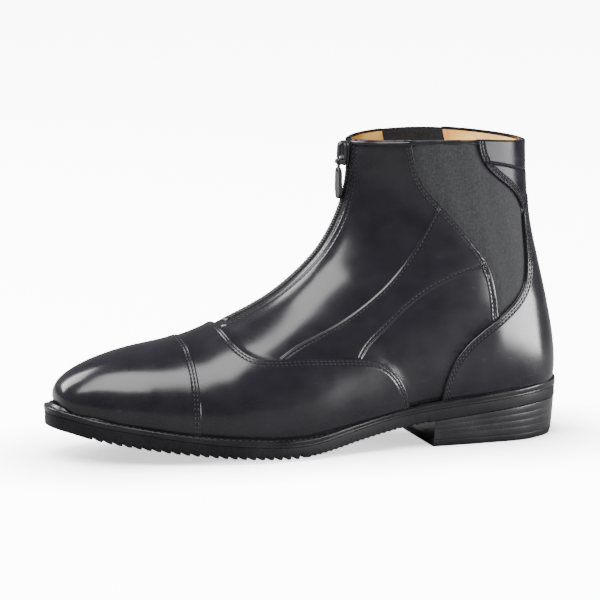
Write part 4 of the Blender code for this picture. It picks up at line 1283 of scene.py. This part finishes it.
@dataclass
class SoleUnit:
    """Welt, outsole, insole, heel block and top lift, closed pieces round the sole's outline."""

    around: int = 420
    tooth_pitch: float = 5.0
    tooth_depth: float = 1.9
    tooth_land: float = 1.5
    tooth_steep: float = 0.6
    tread_front: float = -128.0
    tread_back: float = -13.0
    ripple_front: float = -10.0
    ripple_back: float = 62.0
    ripple_pitch: float = 3.3
    ripple_depth: float = 0.6
    milled: int = 6
    dish_end: float = 146.0
    heel_layers: int = 4

    @staticmethod
    def stack(name: str, node: str, rings: list[np.ndarray], material: bpy.types.Material,
              closed_loop: bool = False, sharp: float = 40.0) -> None:
        """Skin rings of points that run the same way, and cap the first and last or join them.

        Args:
            name: the piece's name.
            node: the node that it replaces.
            rings: rings of points, each as long as the others.
            material: the piece's finish.
            closed_loop: the last ring joins the first.
            sharp: edges that turn more than this many degrees are shaded sharp.
        """
        faces = skin(len(rings), len(rings[0]), closed_loop)
        points = np.concatenate(rings)
        fans = np.array([(face[0], face[k], face[k + 1]) for face in faces for k in range(1, len(face) - 1)])
        a, b, c = points[fans[:, 0]], points[fans[:, 1]], points[fans[:, 2]]
        if (np.cross(a, b) * c).sum() < 0:
            faces = [face[::-1] for face in faces]
        make_object(name, points, faces, [material], node, sharp=sharp)

    def ring(self, inset: np.ndarray | float, height: Callable[[np.ndarray], np.ndarray],
             lift: np.ndarray | float = 0.0) -> np.ndarray:
        """A ring round the outline, moved inwards and set above a height by given amounts."""
        points, outward = Sole.loop(self.around)
        moved = points - outward * np.broadcast_to(inset, len(points))[:, None]
        return np.stack([moved[:, 0], moved[:, 1], height(points[:, 0]) + lift], axis=1)

    def build_welt(self, material: bpy.types.Material, stitches: StitchRows) -> None:
        """Sweep the welt's profile round the outline, with its ridge against the upper in front."""
        x = Sole.loop(self.around)[0][:, 0]
        margin = Sole.margin(x)
        wall = margin + LEATHER + LASTING
        ridge = 0.7 * smooth((-x - 118) / 16) + 0.55
        rings = [self.ring(inset, Sole.joint, 0.12 + lift) for inset, lift in (
            (wall, 0.0), (0.5, 0.0), (0.15, 0.2), (0.1, 0.9), (0.16, 1.1), (0.08, 1.3))]
        rings += [self.ring(inset, Sole.feather, lift) for inset, lift in (
            (0.0, -1.0), (0.05, -0.45), (0.3, -0.12), (0.65, 0.0), (1.0, -0.12), (1.6, -0.18), (2.0, -0.12))]
        rings += [self.ring(margin - ahead, Sole.feather, ridge * rise) for ahead, rise in (
            (2.5, 0.25), (2.1, 0.75), (1.7, 1.0), (1.1, 0.95), (0.2, 0.4))]
        rings += [self.ring(margin + 2.0, Sole.feather, -0.4), self.ring(wall, Sole.feather, -0.1)]
        rings[self.milled][:, 2] += 0.05 * np.sin(np.arange(self.around) * math.pi * 0.5)
        self.stack("welt_strip", "welt", rings, material, closed_loop=True)
        line = self.ring(1.6, Sole.feather, -0.28)
        keep = line[:, 0] < BREAST_X
        order = np.roll(np.arange(self.around), self.around // 2)
        line, keep = line[order], keep[order]
        stitches.add(line[keep], np.tile([0.0, 0.0, 1.0], (int(keep.sum()), 1)))

    def tooth(self, x: np.ndarray) -> np.ndarray:
        """Depth of the tread at places along the boot."""
        place = (x - self.tread_front) % self.tooth_pitch
        breaks = [0.0, self.tooth_land, self.tooth_land + self.tooth_steep, self.tooth_pitch]
        saw = np.interp(place, breaks, [0.0, 0.0, self.tooth_depth, 0.0])
        saw = np.where((x >= self.tread_front) & (x <= self.tread_back), saw, 0.0)
        ripple = self.ripple_depth * np.abs(np.sin(math.pi * (x - self.ripple_front) / self.ripple_pitch))
        return np.where((x > self.ripple_front) & (x < self.ripple_back), ripple, saw)

    def build_outsole(self, material: bpy.types.Material) -> None:
        """Skin the outsole across the boot, station by station, with its tread."""
        places = list(-(HALF_LENGTH - EDGE_STEP) * np.cos(np.linspace(0, math.pi, 120)))[1:-1]
        places = [x for x in places if not self.tread_front - 1 < x < self.ripple_back + 1]
        teeth = round((self.tread_back - self.tread_front) / self.tooth_pitch)
        land, root = self.tooth_land, self.tooth_land + self.tooth_steep
        places += [self.tread_front + i * self.tooth_pitch + step for i in range(teeth)
                   for step in (0.0, 0.15, land - 0.15, land, land + 0.3, root, root + 0.3, 3.4, 4.4)]
        places += list(np.arange(self.ripple_front, self.ripple_back + 0.4, 0.41))
        x = np.array(sorted(set(np.round(places, 4))))
        lateral, medial = Sole.widths(EDGE_STEP, x)
        tooth = self.tooth(x)
        edge, middle = Sole.edge(x) + tooth, Sole.ground(x) + tooth
        top = Sole.joint(x)
        section = []
        for side, width in ((-1, lateral), (1, medial)):
            corner = np.minimum(0.9, width * 0.2)
            across = [(side * width, top), (side * (width + 0.12), top - 1.2), (side * width, top - 2.4),
                      (side * width, edge + 1.0), (side * (width - corner * 0.3), edge + 0.3),
                      (side * (width - corner), edge)]
            across += [(side * width * share, edge + (middle - edge) * (0.985 - share) / 0.585)
                       for share in (0.85, 0.7, 0.55)]
            across.append((side * width * CROWN_START, middle))
            section.append(across)
        corners = section[0] + section[1][::-1]
        rings = [np.array([(x[i], y[i], z[i]) for y, z in corners]) for i in range(len(x))]
        self.stack("outsole_tread", "outsole", rings, material, sharp=28)

    def build_insole(self, material: bpy.types.Material) -> None:
        """A padded sock over the insole."""
        points, _ = Sole.loop(self.around)
        wall = Sole.margin(points[:, 0]) + LEATHER + LASTING + GAP
        rings = [self.ring(wall, Sole.joint, GAP),
                 self.ring(wall, lambda x: Sole.feather(x) + INSOLE_RISE - 0.8),
                 self.ring(wall + 0.4, lambda x: Sole.feather(x) + INSOLE_RISE - 0.2),
                 self.ring(wall + 1.2, lambda x: Sole.feather(x) + INSOLE_RISE)]
        flat = rings[-1]
        middle = np.stack([flat[:, 0], np.zeros(len(flat)), flat[:, 2]], axis=1)
        for share in (0.25, 0.5, 0.75, 0.97):
            row = flat + (middle - flat) * share
            row[:, 2] -= 0.8 * share * smooth((self.dish_end - np.abs(flat[:, 0])) / 40)
            rings.append(row)
        self.stack("insole_sock", "insole", rings, material, sharp=50)

    @staticmethod
    def heel_ring(inset: float, level: Callable[[np.ndarray], np.ndarray]) -> np.ndarray:
        """A ring of the heel, with its straight breast in front."""
        back = HALF_LENGTH - inset
        share = np.sin(np.linspace(0, math.pi / 2, 40))
        x = BREAST_X + (back - BREAST_X) * share
        lateral, medial = Sole.widths(inset, x)
        lateral[-1], medial[-1] = 0.0, 0.0
        near = np.stack([x, -lateral, level(x)], axis=1)
        far = np.stack([x, medial, level(x)], axis=1)[::-1][1:]
        span = np.linspace(0, 1, 14)[1:-1]
        breast = far[-1] + (near[0] - far[-1]) * span[:, None]
        breast[:, 2] = level(breast[:, 0])
        return np.concatenate([near, far, breast])

    def build_heel(self, edge_dress: bpy.types.Material, rubber: bpy.types.Material) -> None:
        """Build the stacked block, with faint lines between its layers, and the top lift."""
        seat = EDGE_STEP + 0.3
        floor = seat + HEEL_TAPER
        rings = []
        for layer in range(self.heel_layers):
            for step, sink in ((0.01, 0.02), (0.03, 0.0), (0.5, 0.0), (0.97, 0.0), (0.99, 0.02)):
                share = (layer + step) / self.heel_layers
                rings.append(self.heel_ring(
                    floor + (seat - floor) * share ** 0.8 + sink,
                    lambda x: (LIFT_THICK + 0.15) * (1 - share) + (Sole.edge(x) - 0.1) * share))
        self.stack("heel_stack", "heel_block", rings, edge_dress, sharp=30)
        lift = [self.heel_ring(floor + inset, lambda x: np.full(len(x), height)) for inset, height in (
            (LIFT_STEP + 0.5, 0.0), (LIFT_STEP + 0.1, 0.4), (0.4, 2.0), (0.05, LIFT_THICK - 0.5),
            (0.15, LIFT_THICK - 0.1), (0.5, LIFT_THICK))]
        self.stack("heel_top_lift", "top_lift", lift, rubber, sharp=30)


class Graph:
    """Short ways to build a node tree."""

    def __init__(self, tree: bpy.types.NodeTree) -> None:
        """Work on a tree."""
        self.tree = tree

    def node(self, kind: str, inputs: dict | None = None, **settings: object) -> bpy.types.Node:
        """Add a node.

        Args:
            kind: the node's type, without the shader prefix.
            inputs: values or sockets for its inputs.
            **settings: attributes of the node.
        """
        node = self.tree.nodes.new("ShaderNode" + kind)
        for name, value in settings.items():
            setattr(node, name, value)
        for name, value in (inputs or {}).items():
            socket = node.inputs[name]
            if isinstance(value, bpy.types.NodeSocket):
                self.tree.links.new(value, socket)
            else:
                socket.default_value = value
        return node

    def math(self, operation: str, a: object, b: object = 0.0) -> bpy.types.NodeSocket:
        """Add a sum or other calculation."""
        return self.node("Math", {0: a, 1: b}, operation=operation).outputs[0]

    def noise(self, where: bpy.types.NodeSocket, scale: float, detail: float = 2.0,
              roughness: float = 0.5) -> bpy.types.NodeSocket:
        """Add a noise and return its value."""
        return self.node("TexNoise", {"Vector": where, "Scale": scale, "Detail": detail,
                                      "Roughness": roughness}).outputs["Fac"]

    def fit(self, value: bpy.types.NodeSocket, low: float, high: float, start: float = 0.0,
            end: float = 1.0) -> bpy.types.NodeSocket:
        """Map a value from one range to another."""
        return self.node("MapRange", {"Value": value, "From Min": low, "From Max": high,
                                      "To Min": start, "To Max": end}).outputs["Result"]

    def blend(self, share: object, first: object, second: object) -> bpy.types.NodeSocket:
        """Mix two colours."""
        node = self.node("Mix", data_type='RGBA')
        for socket, value in zip((node.inputs[0], node.inputs[6], node.inputs[7]), (share, first, second)):
            if isinstance(value, bpy.types.NodeSocket):
                self.tree.links.new(value, socket)
            else:
                socket.default_value = value
        return node.outputs[2]

    def stretched(self, where: bpy.types.NodeSocket, scale: tuple[float, float, float],
                  turn: tuple[float, float, float] = (0.0, 0.0, 0.0)) -> bpy.types.NodeSocket:
        """Scale and turn a texture's coordinates."""
        return self.node("Mapping", {"Vector": where, "Scale": scale, "Rotation": turn}).outputs[0]


EFFECTS: dict[str, bpy.types.NodeTree] = {}


def effect(name: str, outputs: Sequence[str], fill: Callable) -> bpy.types.NodeTree:
    """Return a shared group of nodes, built on first use.

    Args:
        name: the group's name.
        outputs: names of its value outputs.
        fill: a function of the graph and the object's coordinates, which returns the outputs' sockets.
    """
    if name not in EFFECTS:
        tree = bpy.data.node_groups.new(name, "ShaderNodeTree")
        for output in outputs:
            tree.interface.new_socket(output, in_out='OUTPUT', socket_type='NodeSocketFloat')
        graph = Graph(tree)
        where = graph.node("TexCoord").outputs["Object"]
        end = tree.nodes.new("NodeGroupOutput")
        for output, socket in zip(outputs, fill(graph, where)):
            tree.links.new(socket, end.inputs[output])
        EFFECTS[name] = tree
    return EFFECTS[name]


def leather_grain(graph: Graph, where: bpy.types.NodeSocket) -> tuple:
    """Fine pebbled grain with pores, and broad soft waves of a hide that was pulled over a last."""
    cells = graph.node("TexVoronoi", {"Vector": where, "Scale": 1250.0, "Randomness": 1.0},
                       feature='DISTANCE_TO_EDGE').outputs["Distance"]
    pebble = graph.fit(cells, 0.0, 0.3)
    fine = graph.noise(where, 3200.0, 2.0)
    height = graph.math('ADD', graph.math('MULTIPLY', pebble, 0.6), graph.math('MULTIPLY', fine, 0.4))
    wave = graph.noise(graph.stretched(where, (1.0, 1.0, 1.3)), 70.0, 3.0)
    return height, wave


def scuffs(graph: Graph, where: bpy.types.NodeSocket) -> tuple:
    """Thin light scratches, broad rubbed patches and dust that gathers low on the boot."""
    line = graph.noise(graph.stretched(where, (60.0, 60.0, 900.0), (0.2, 0.5, 0.0)), 1.0, 3.0, 0.6)
    broken = graph.noise(where, 90.0, 3.0)
    scratch = graph.math('MULTIPLY', graph.fit(line, 0.66, 0.72), graph.fit(broken, 0.55, 0.65))
    rubbed = graph.fit(graph.noise(where, 26.0, 4.0, 0.6), 0.42, 0.7)
    low = graph.node("SeparateXYZ", {"Vector": where}).outputs["Z"]
    speck = graph.fit(graph.noise(where, 1500.0, 2.0), 0.6, 0.72)
    dust = graph.math('MULTIPLY', graph.fit(low, 0.055, 0.008), speck)
    return scratch, rubbed, dust


def ribs(graph: Graph, where: bpy.types.NodeSocket) -> tuple:
    """Courses of knitted elastic, with finer threads across them."""
    parts = graph.node("SeparateXYZ", {"Vector": where}).outputs
    jitter = graph.math('MULTIPLY', graph.noise(where, 220.0, 2.0), 0.0006)
    along = graph.math('ADD', parts["Z"], jitter)
    course = graph.math('SINE', graph.math('MULTIPLY', along, 2 * math.pi / 0.00095))
    across = graph.math('SINE', graph.math('MULTIPLY', graph.math('ADD', parts["X"], jitter),
                                           2 * math.pi / 0.00085))
    height = graph.math('ADD', graph.math('MULTIPLY', course, 0.2), graph.math('MULTIPLY', across, 0.16))
    return graph.math('ADD', height, 0.5), graph.noise(where, 900.0, 3.0)


def weave(graph: Graph, where: bpy.types.NodeSocket) -> tuple:
    """Fine herringbone of a zip tape."""
    turned = graph.stretched(where, (1.0, 1.0, 1.0), (0.0, 0.75, 0.0))
    parts = graph.node("SeparateXYZ", {"Vector": turned}).outputs
    one = graph.math('SINE', graph.math('MULTIPLY', parts["X"], 2 * math.pi / 0.0007))
    other = graph.math('SINE', graph.math('MULTIPLY', parts["Y"], 2 * math.pi / 0.0006))
    return (graph.math('ADD', graph.math('MULTIPLY', graph.math('MULTIPLY', one, other), 0.5), 0.5),)


def speckle(graph: Graph, where: bpy.types.NodeSocket) -> tuple:
    """Soft nap with small darker and lighter spots."""
    spots = graph.noise(where, 700.0, 4.0, 0.7)
    clouds = graph.noise(where, 60.0, 3.0)
    return spots, clouds


def edge_wear(graph: Graph, where: bpy.types.NodeSocket) -> tuple:
    """Sharp edges, where a coat wears through first."""
    return (graph.fit(graph.node("NewGeometry").outputs["Pointiness"], 0.515, 0.58),)


def layer_lines(graph: Graph, where: bpy.types.NodeSocket) -> tuple:
    """Level lines between the thin layers of a stacked heel."""
    level = graph.node("SeparateXYZ", {"Vector": where}).outputs["Z"]
    return (graph.math('SINE', graph.math('MULTIPLY', level, 2 * math.pi / 0.0017)),)


SCRATCHED = (0.16, 0.15, 0.16, 1.0)
DUSTY = (0.30, 0.27, 0.23, 1.0)
WORN_EDGE = (0.30, 0.29, 0.30, 1.0)
WHITE = (1.0, 1.0, 1.0, 1.0)
BLACK = (0.0, 0.0, 0.0, 1.0)
# What the floor throws back on the boot: a grey darker than the white the camera sees, which paints shade
# into the leather's reflections
FLOOR_BOUNCE = (0.28, 0.28, 0.28, 1.0)
# The span of a pattern's values over which colour and roughness change
SPREAD = (0.3, 0.75)


@dataclass(frozen=True)
class Finish:
    """One surface finish, whose colour, roughness, gloss and relief come from nodes."""

    name: str
    dark: tuple[float, float, float]
    light: tuple[float, float, float]
    group: str
    outputs: tuple[str, ...]
    fill: Callable
    roughness: tuple[float, float]
    bump: float
    depth: float = 0.0001
    coat: float = 0.0
    coat_roughness: float = 0.1
    metallic: float = 0.0
    specular: float = 0.4
    sheen: float = 0.0
    worn: float = 0.0
    marks: float = 0.0
    layers: float = 0.0
    glow: float = 0.0

    @staticmethod
    def shared(graph: Graph, name: str, outputs: tuple[str, ...], fill: Callable
               ) -> list[bpy.types.NodeSocket]:
        """Add a shared effect to the material and return its outputs."""
        group = graph.node("Group")
        group.node_tree = effect(name, outputs, fill)
        return list(group.outputs)

    def marked(self, graph: Graph, colour: bpy.types.NodeSocket, rough: bpy.types.NodeSocket) -> tuple:
        """Add scratches, rubbed patches and dust to a colour and a roughness."""
        scratch, rubbed, dust = self.shared(graph, "scuffs_and_dust", ("Scratch", "Rubbed", "Dust"), scuffs)
        colour = graph.blend(graph.math('MULTIPLY', scratch, self.marks * 0.5), colour, SCRATCHED)
        colour = graph.blend(graph.math('MULTIPLY', dust, self.marks * 0.15), colour, DUSTY)
        rough = graph.math('ADD', rough, graph.math('MULTIPLY', rubbed, 0.09 * self.marks))
        return colour, graph.math('ADD', rough, graph.math('MULTIPLY', scratch, 0.2 * self.marks))

    def glow_with_painted_shadow(self, graph: Graph, colour: bpy.types.NodeSocket, shader: bpy.types.Node) -> None:
        """Let the floor glow for the camera, with a painted soft shadow round the boot where the glow fades.
        """
        seen = graph.node("LightPath").outputs["Is Camera Ray"]
        where = graph.node("SeparateXYZ", {"Vector": graph.node("TexCoord").outputs["Object"]}).outputs
        # Painted shadow: the glow falls to 12% within 3 cm of the boot's middle line and is full from 10 cm
        # out.
        past_ends = graph.math('SUBTRACT', graph.math('ABSOLUTE', where["X"]), 0.11)
        flat = graph.node("CombineXYZ", {"X": graph.math('MAXIMUM', past_ends, 0.0), "Y": where["Y"]})
        apart = graph.node("VectorMath", {0: flat.outputs[0]}, operation='LENGTH').outputs["Value"]
        shown = graph.math('MULTIPLY', seen, graph.fit(apart, 0.03, 0.1, 0.12, 1.0))
        # Painted shade: rays other than the camera's see the floor in the darker FLOOR_BOUNCE grey.
        graph.tree.links.new(graph.blend(seen, FLOOR_BOUNCE, colour), shader.inputs["Base Color"])
        graph.tree.links.new(graph.blend(shown, BLACK, WHITE), shader.inputs["Emission Color"])
        shader.inputs["Emission Strength"].default_value = self.glow

    def build(self) -> bpy.types.Material:
        """Make the material."""
        material = bpy.data.materials.new(self.name)
        material.use_nodes = True
        material.node_tree.nodes.clear()
        graph = Graph(material.node_tree)
        pattern = self.shared(graph, self.group, self.outputs, self.fill)
        height, share = pattern[0], pattern[-1]
        colour = graph.blend(graph.fit(share, *SPREAD), (*self.dark, 1.0), (*self.light, 1.0))
        rough = graph.fit(share, *SPREAD, *self.roughness)
        if self.marks:
            colour, rough = self.marked(graph, colour, rough)
        if self.worn:
            edge, = self.shared(graph, "edge_wear", ("Edge",), edge_wear)
            colour = graph.blend(graph.math('MULTIPLY', edge, self.worn), colour, WORN_EDGE)
        if self.layers:
            line, = self.shared(graph, "layer_lines", ("Lines",), layer_lines)
            height = graph.math('ADD', height, graph.math('MULTIPLY', line, self.layers))
        bump = graph.node("Bump", {"Height": height, "Strength": self.bump, "Distance": self.depth})
        shader = graph.node("BsdfPrincipled", {
            "Base Color": colour, "Roughness": rough, "Metallic": self.metallic,
            "Normal": bump.outputs["Normal"], "Coat Weight": self.coat,
            "Coat Roughness": self.coat_roughness, "Specular IOR Level": self.specular,
            "Sheen Weight": self.sheen})
        if self.glow:
            self.glow_with_painted_shadow(graph, colour, shader)
        end = graph.node("OutputMaterial", {"Surface": shader.outputs["BSDF"]})
        end.is_active_output = True
        return material


GRAIN = {"group": "leather_grain", "outputs": ("Height", "Wave"), "fill": leather_grain}
NAP = {"group": "soft_nap", "outputs": ("Spots", "Clouds"), "fill": speckle}
RIBBED = {"group": "elastic_ribs", "outputs": ("Ribs", "Fuzz"), "fill": ribs}
WOVEN = {"group": "tape_weave", "outputs": ("Weave",), "fill": weave}

FINISHES = {
    "leather": Finish("polished_black_leather", (0.0062, 0.0058, 0.0075), (0.0095, 0.009, 0.0115), **GRAIN,
                      roughness=(0.17, 0.21), bump=0.07, specular=0.22, marks=0.25),
    "shiny": Finish("glossy_black_leather", (0.005, 0.0045, 0.0065), (0.012, 0.011, 0.015), **GRAIN,
                    roughness=(0.16, 0.24), bump=0.2, depth=0.00012, specular=0.06, marks=0.2),
    "elastic": Finish("ribbed_elastic", (0.0110, 0.0110, 0.0123), (0.0247, 0.0247, 0.0272), **RIBBED,
                      roughness=(0.75, 0.9), bump=0.6, depth=0.0003, specular=0.12, sheen=0.05),
    "tape": Finish("woven_zip_tape", (0.004, 0.004, 0.0045), (0.012, 0.012, 0.013), **WOVEN,
                   roughness=(0.7, 0.85), bump=0.6, depth=0.0002, specular=0.12),
    "teeth": Finish("moulded_zip_teeth", (0.005, 0.005, 0.0055), (0.011, 0.011, 0.012), **NAP,
                    roughness=(0.3, 0.42), bump=0.15, depth=0.00008, specular=0.3),
    "metal": Finish("black_enamelled_metal", (0.006, 0.006, 0.0065), (0.012, 0.012, 0.013), **NAP,
                    roughness=(0.2, 0.3), bump=0.1, depth=0.00006, coat=0.05,
                    specular=0.22, worn=0.04),
    "bare": Finish("worn_bare_metal", (0.03, 0.03, 0.033), (0.08, 0.08, 0.085), **NAP,
                   roughness=(0.3, 0.5), bump=0.2, depth=0.00008, metallic=0.9),
    "welt": Finish("edge_dressed_welt", (0.004, 0.0038, 0.0045), (0.009, 0.0085, 0.010), **NAP,
                   roughness=(0.22, 0.3), bump=0.12, specular=0.2, marks=0.1),
    "rubber": Finish("satin_black_rubber", (0.0035, 0.0033, 0.004), (0.008, 0.0075, 0.009), **NAP,
                     roughness=(0.42, 0.58), bump=0.2, specular=0.11, marks=0.2),
    "heel": Finish("dressed_stacked_heel", (0.004, 0.0038, 0.0045), (0.010, 0.0095, 0.011), **NAP,
                   roughness=(0.2, 0.28), bump=0.12, specular=0.36, marks=0.2, layers=0.005),
    "lining": Finish("tan_lining", (0.55, 0.25, 0.045), (1.0, 0.66, 0.20), **NAP,
                     roughness=(0.6, 0.8), bump=0.35, depth=0.00015, specular=0.15),
    "thread": Finish("black_thread", (0.008, 0.0075, 0.009), (0.026, 0.024, 0.028), **NAP,
                     roughness=(0.45, 0.6), bump=0.3, depth=0.00008, specular=0.14),
    "floor": Finish("pale_studio_floor", (0.86, 0.86, 0.86), (0.89, 0.89, 0.89), **NAP,
                    roughness=(0.9, 0.96), bump=0.02, depth=0.00005, specular=0.1, glow=9.0),
}


class Softbox(NamedTuple):
    """An area light, by where it stands round the boot and how large and bright it is."""

    name: str
    azimuth: float
    elevation: float
    distance: float
    width: float
    height: float
    power: float


SOFTBOXES = [
    Softbox("overhead", -44.0, 58.0, 1.6, 1.1, 1.15, 88.0),
    Softbox("back_left", -131.0, 38.0, 1.8, 0.8, 1.3, 85.0),
    Softbox("right_low", 60.0, -2.5, 0.6, 0.44, 0.15, 11.5),
]


class Studio:
    """Floor, lights, world and camera."""

    target = Vector((-0.00175, 0.0012, 0.0806))
    camera_azimuth = -17.0
    camera_elevation = 9.8
    camera_distance = 2.2
    focal_pixels = 3992.7
    picture_width = 600
    sensor = 36.0
    floor_half = 6.0

    @staticmethod
    def direction(azimuth: float, elevation: float) -> Vector:
        """Unit vector from the boot towards a place round it."""
        turn, up = math.radians(azimuth), math.radians(elevation)
        return Vector((math.sin(turn) * math.cos(up), -math.cos(turn) * math.cos(up), math.sin(up)))

    def place(self, obj: bpy.types.Object, azimuth: float, elevation: float, distance: float) -> None:
        """Set an object round the boot and aim it at the middle."""
        direction = self.direction(azimuth, elevation)
        obj.location = self.target + direction * distance
        obj.rotation_euler = direction.to_track_quat('Z', 'Y').to_euler()
        bpy.context.scene.collection.objects.link(obj)

    def build(self, floor_material: bpy.types.Material) -> None:
        """Build the whole studio."""
        half = self.floor_half
        mesh = bpy.data.meshes.new("studio_floor")
        mesh.from_pydata([(-half, -half, 0), (half, -half, 0), (half, half, 0), (-half, half, 0)], [],
                         [(0, 1, 2, 3)])
        floor = bpy.data.objects.new("studio_floor", mesh)
        mesh.materials.append(floor_material)
        bpy.context.scene.collection.objects.link(floor)
        for box in SOFTBOXES:
            light = bpy.data.lights.new(box.name, 'AREA')
            light.shape = 'RECTANGLE'
            light.size, light.size_y, light.energy = box.width, box.height, box.power
            self.place(bpy.data.objects.new(box.name, light), box.azimuth, box.elevation, box.distance)
        world = bpy.data.worlds.new("pale_room")
        world.use_nodes = True
        background = world.node_tree.nodes["Background"]
        background.inputs["Color"].default_value = (0.95, 0.96, 1.0, 1.0)
        background.inputs["Strength"].default_value = 0.25
        bpy.context.scene.world = world
        data = bpy.data.cameras.new("photo_camera")
        data.sensor_width = self.sensor
        data.lens = self.focal_pixels * self.sensor / self.picture_width
        data.clip_end = 50.0
        camera = bpy.data.objects.new("photo_camera", data)
        self.place(camera, self.camera_azimuth, self.camera_elevation, self.camera_distance)
        bpy.context.scene.camera = camera


def make_panels(form: BootForm, look: dict[str, bpy.types.Material], stitches: StitchRows) -> None:
    """Build the hollow upper and the overlays on it."""
    LeatherPanel(
        "upper_leather", "upper", look["leather"], ["sole", "collar", "gusset", "zip"], -LEATHER, 0.0,
        edges={"gusset": 0.6, "zip": 0.6, "collar": 0.7},
        rows={"gusset": [1.3, 2.6], "zip": [1.5, 4.2], "panel": [1.7]},
        steps={"panel": (0.2, 0.55), "zip": (3.1, -0.3), "gusset": (3.5, -0.3)},
        clear_of={"vamp": -0.5, "counter": -0.5, "patch": -0.3, "gusset": 0.3, "zip": 0.3},
        lining=look["lining"], fine_rows=1).build(form, stitches)
    LeatherPanel(
        "vamp_leather", "vamp", look["leather"], ["sole", "vamp"], GAP, 1.3,
        edges={"vamp": 0.7}, rows={"vamp": [1.4, 2.9]},
        clear_of={"cap": -3.0}).build(form, stitches)
    LeatherPanel(
        "toe_cap_leather", "toe_cap", look["leather"], ["sole", "cap"], GAP, 1.9,
        edges={"cap": 0.7}, rows={"cap": [1.6, 3.2]}).build(form, stitches)
    LeatherPanel(
        "counter_leather", "heel_counter", look["leather"], ["sole", "counter"], GAP, 1.5,
        edges={"counter": 0.7}, rows={"counter": [1.4, 2.9]}).build(form, stitches)
    LeatherPanel(
        "patch_leather", "collar_patch", look["shiny"], ["collar", "patch"], GAP, 1.1,
        edges={"patch": 0.5, "collar": 0.5}, rows={"patch": [1.3, 2.9], "patch_seam": [0.0]},
        steps={"patch_seam": (-0.9, -0.25)}, groove_depth=0.3).build(form, stitches)


def main() -> None:
    """Build the boot's looks and the studio."""
    logging.basicConfig(level=logging.INFO, format="%(name)s: %(message)s")
    look = {name: finish.build() for name, finish in FINISHES.items()}
    form = BootForm()
    LOG.info("form: %d triangles", len(form.sheet.faces))
    stitches = StitchRows("upper_stitches", look["thread"], "upper")
    make_panels(form, look, stitches)
    stitches.build()
    Gusset("gusset_lateral", -1, look["elastic"]).build(form)
    Gusset("gusset_medial", 1, look["elastic"]).build(form)
    CollarBinding(look["leather"]).build(form)
    Zip(look["tape"], look["teeth"], look["metal"], look["bare"], form).build()
    sole = SoleUnit()
    welt_stitches = StitchRows("welt_stitches", look["thread"], "welt", 3.4, 0.36, 2.5)
    sole.build_welt(look["welt"], welt_stitches)
    welt_stitches.build()
    sole.build_outsole(look["rubber"])
    sole.build_insole(look["lining"])
    sole.build_heel(look["heel"], look["rubber"])
    Studio().build(look["floor"])


if __name__ == "__main__":
    main()
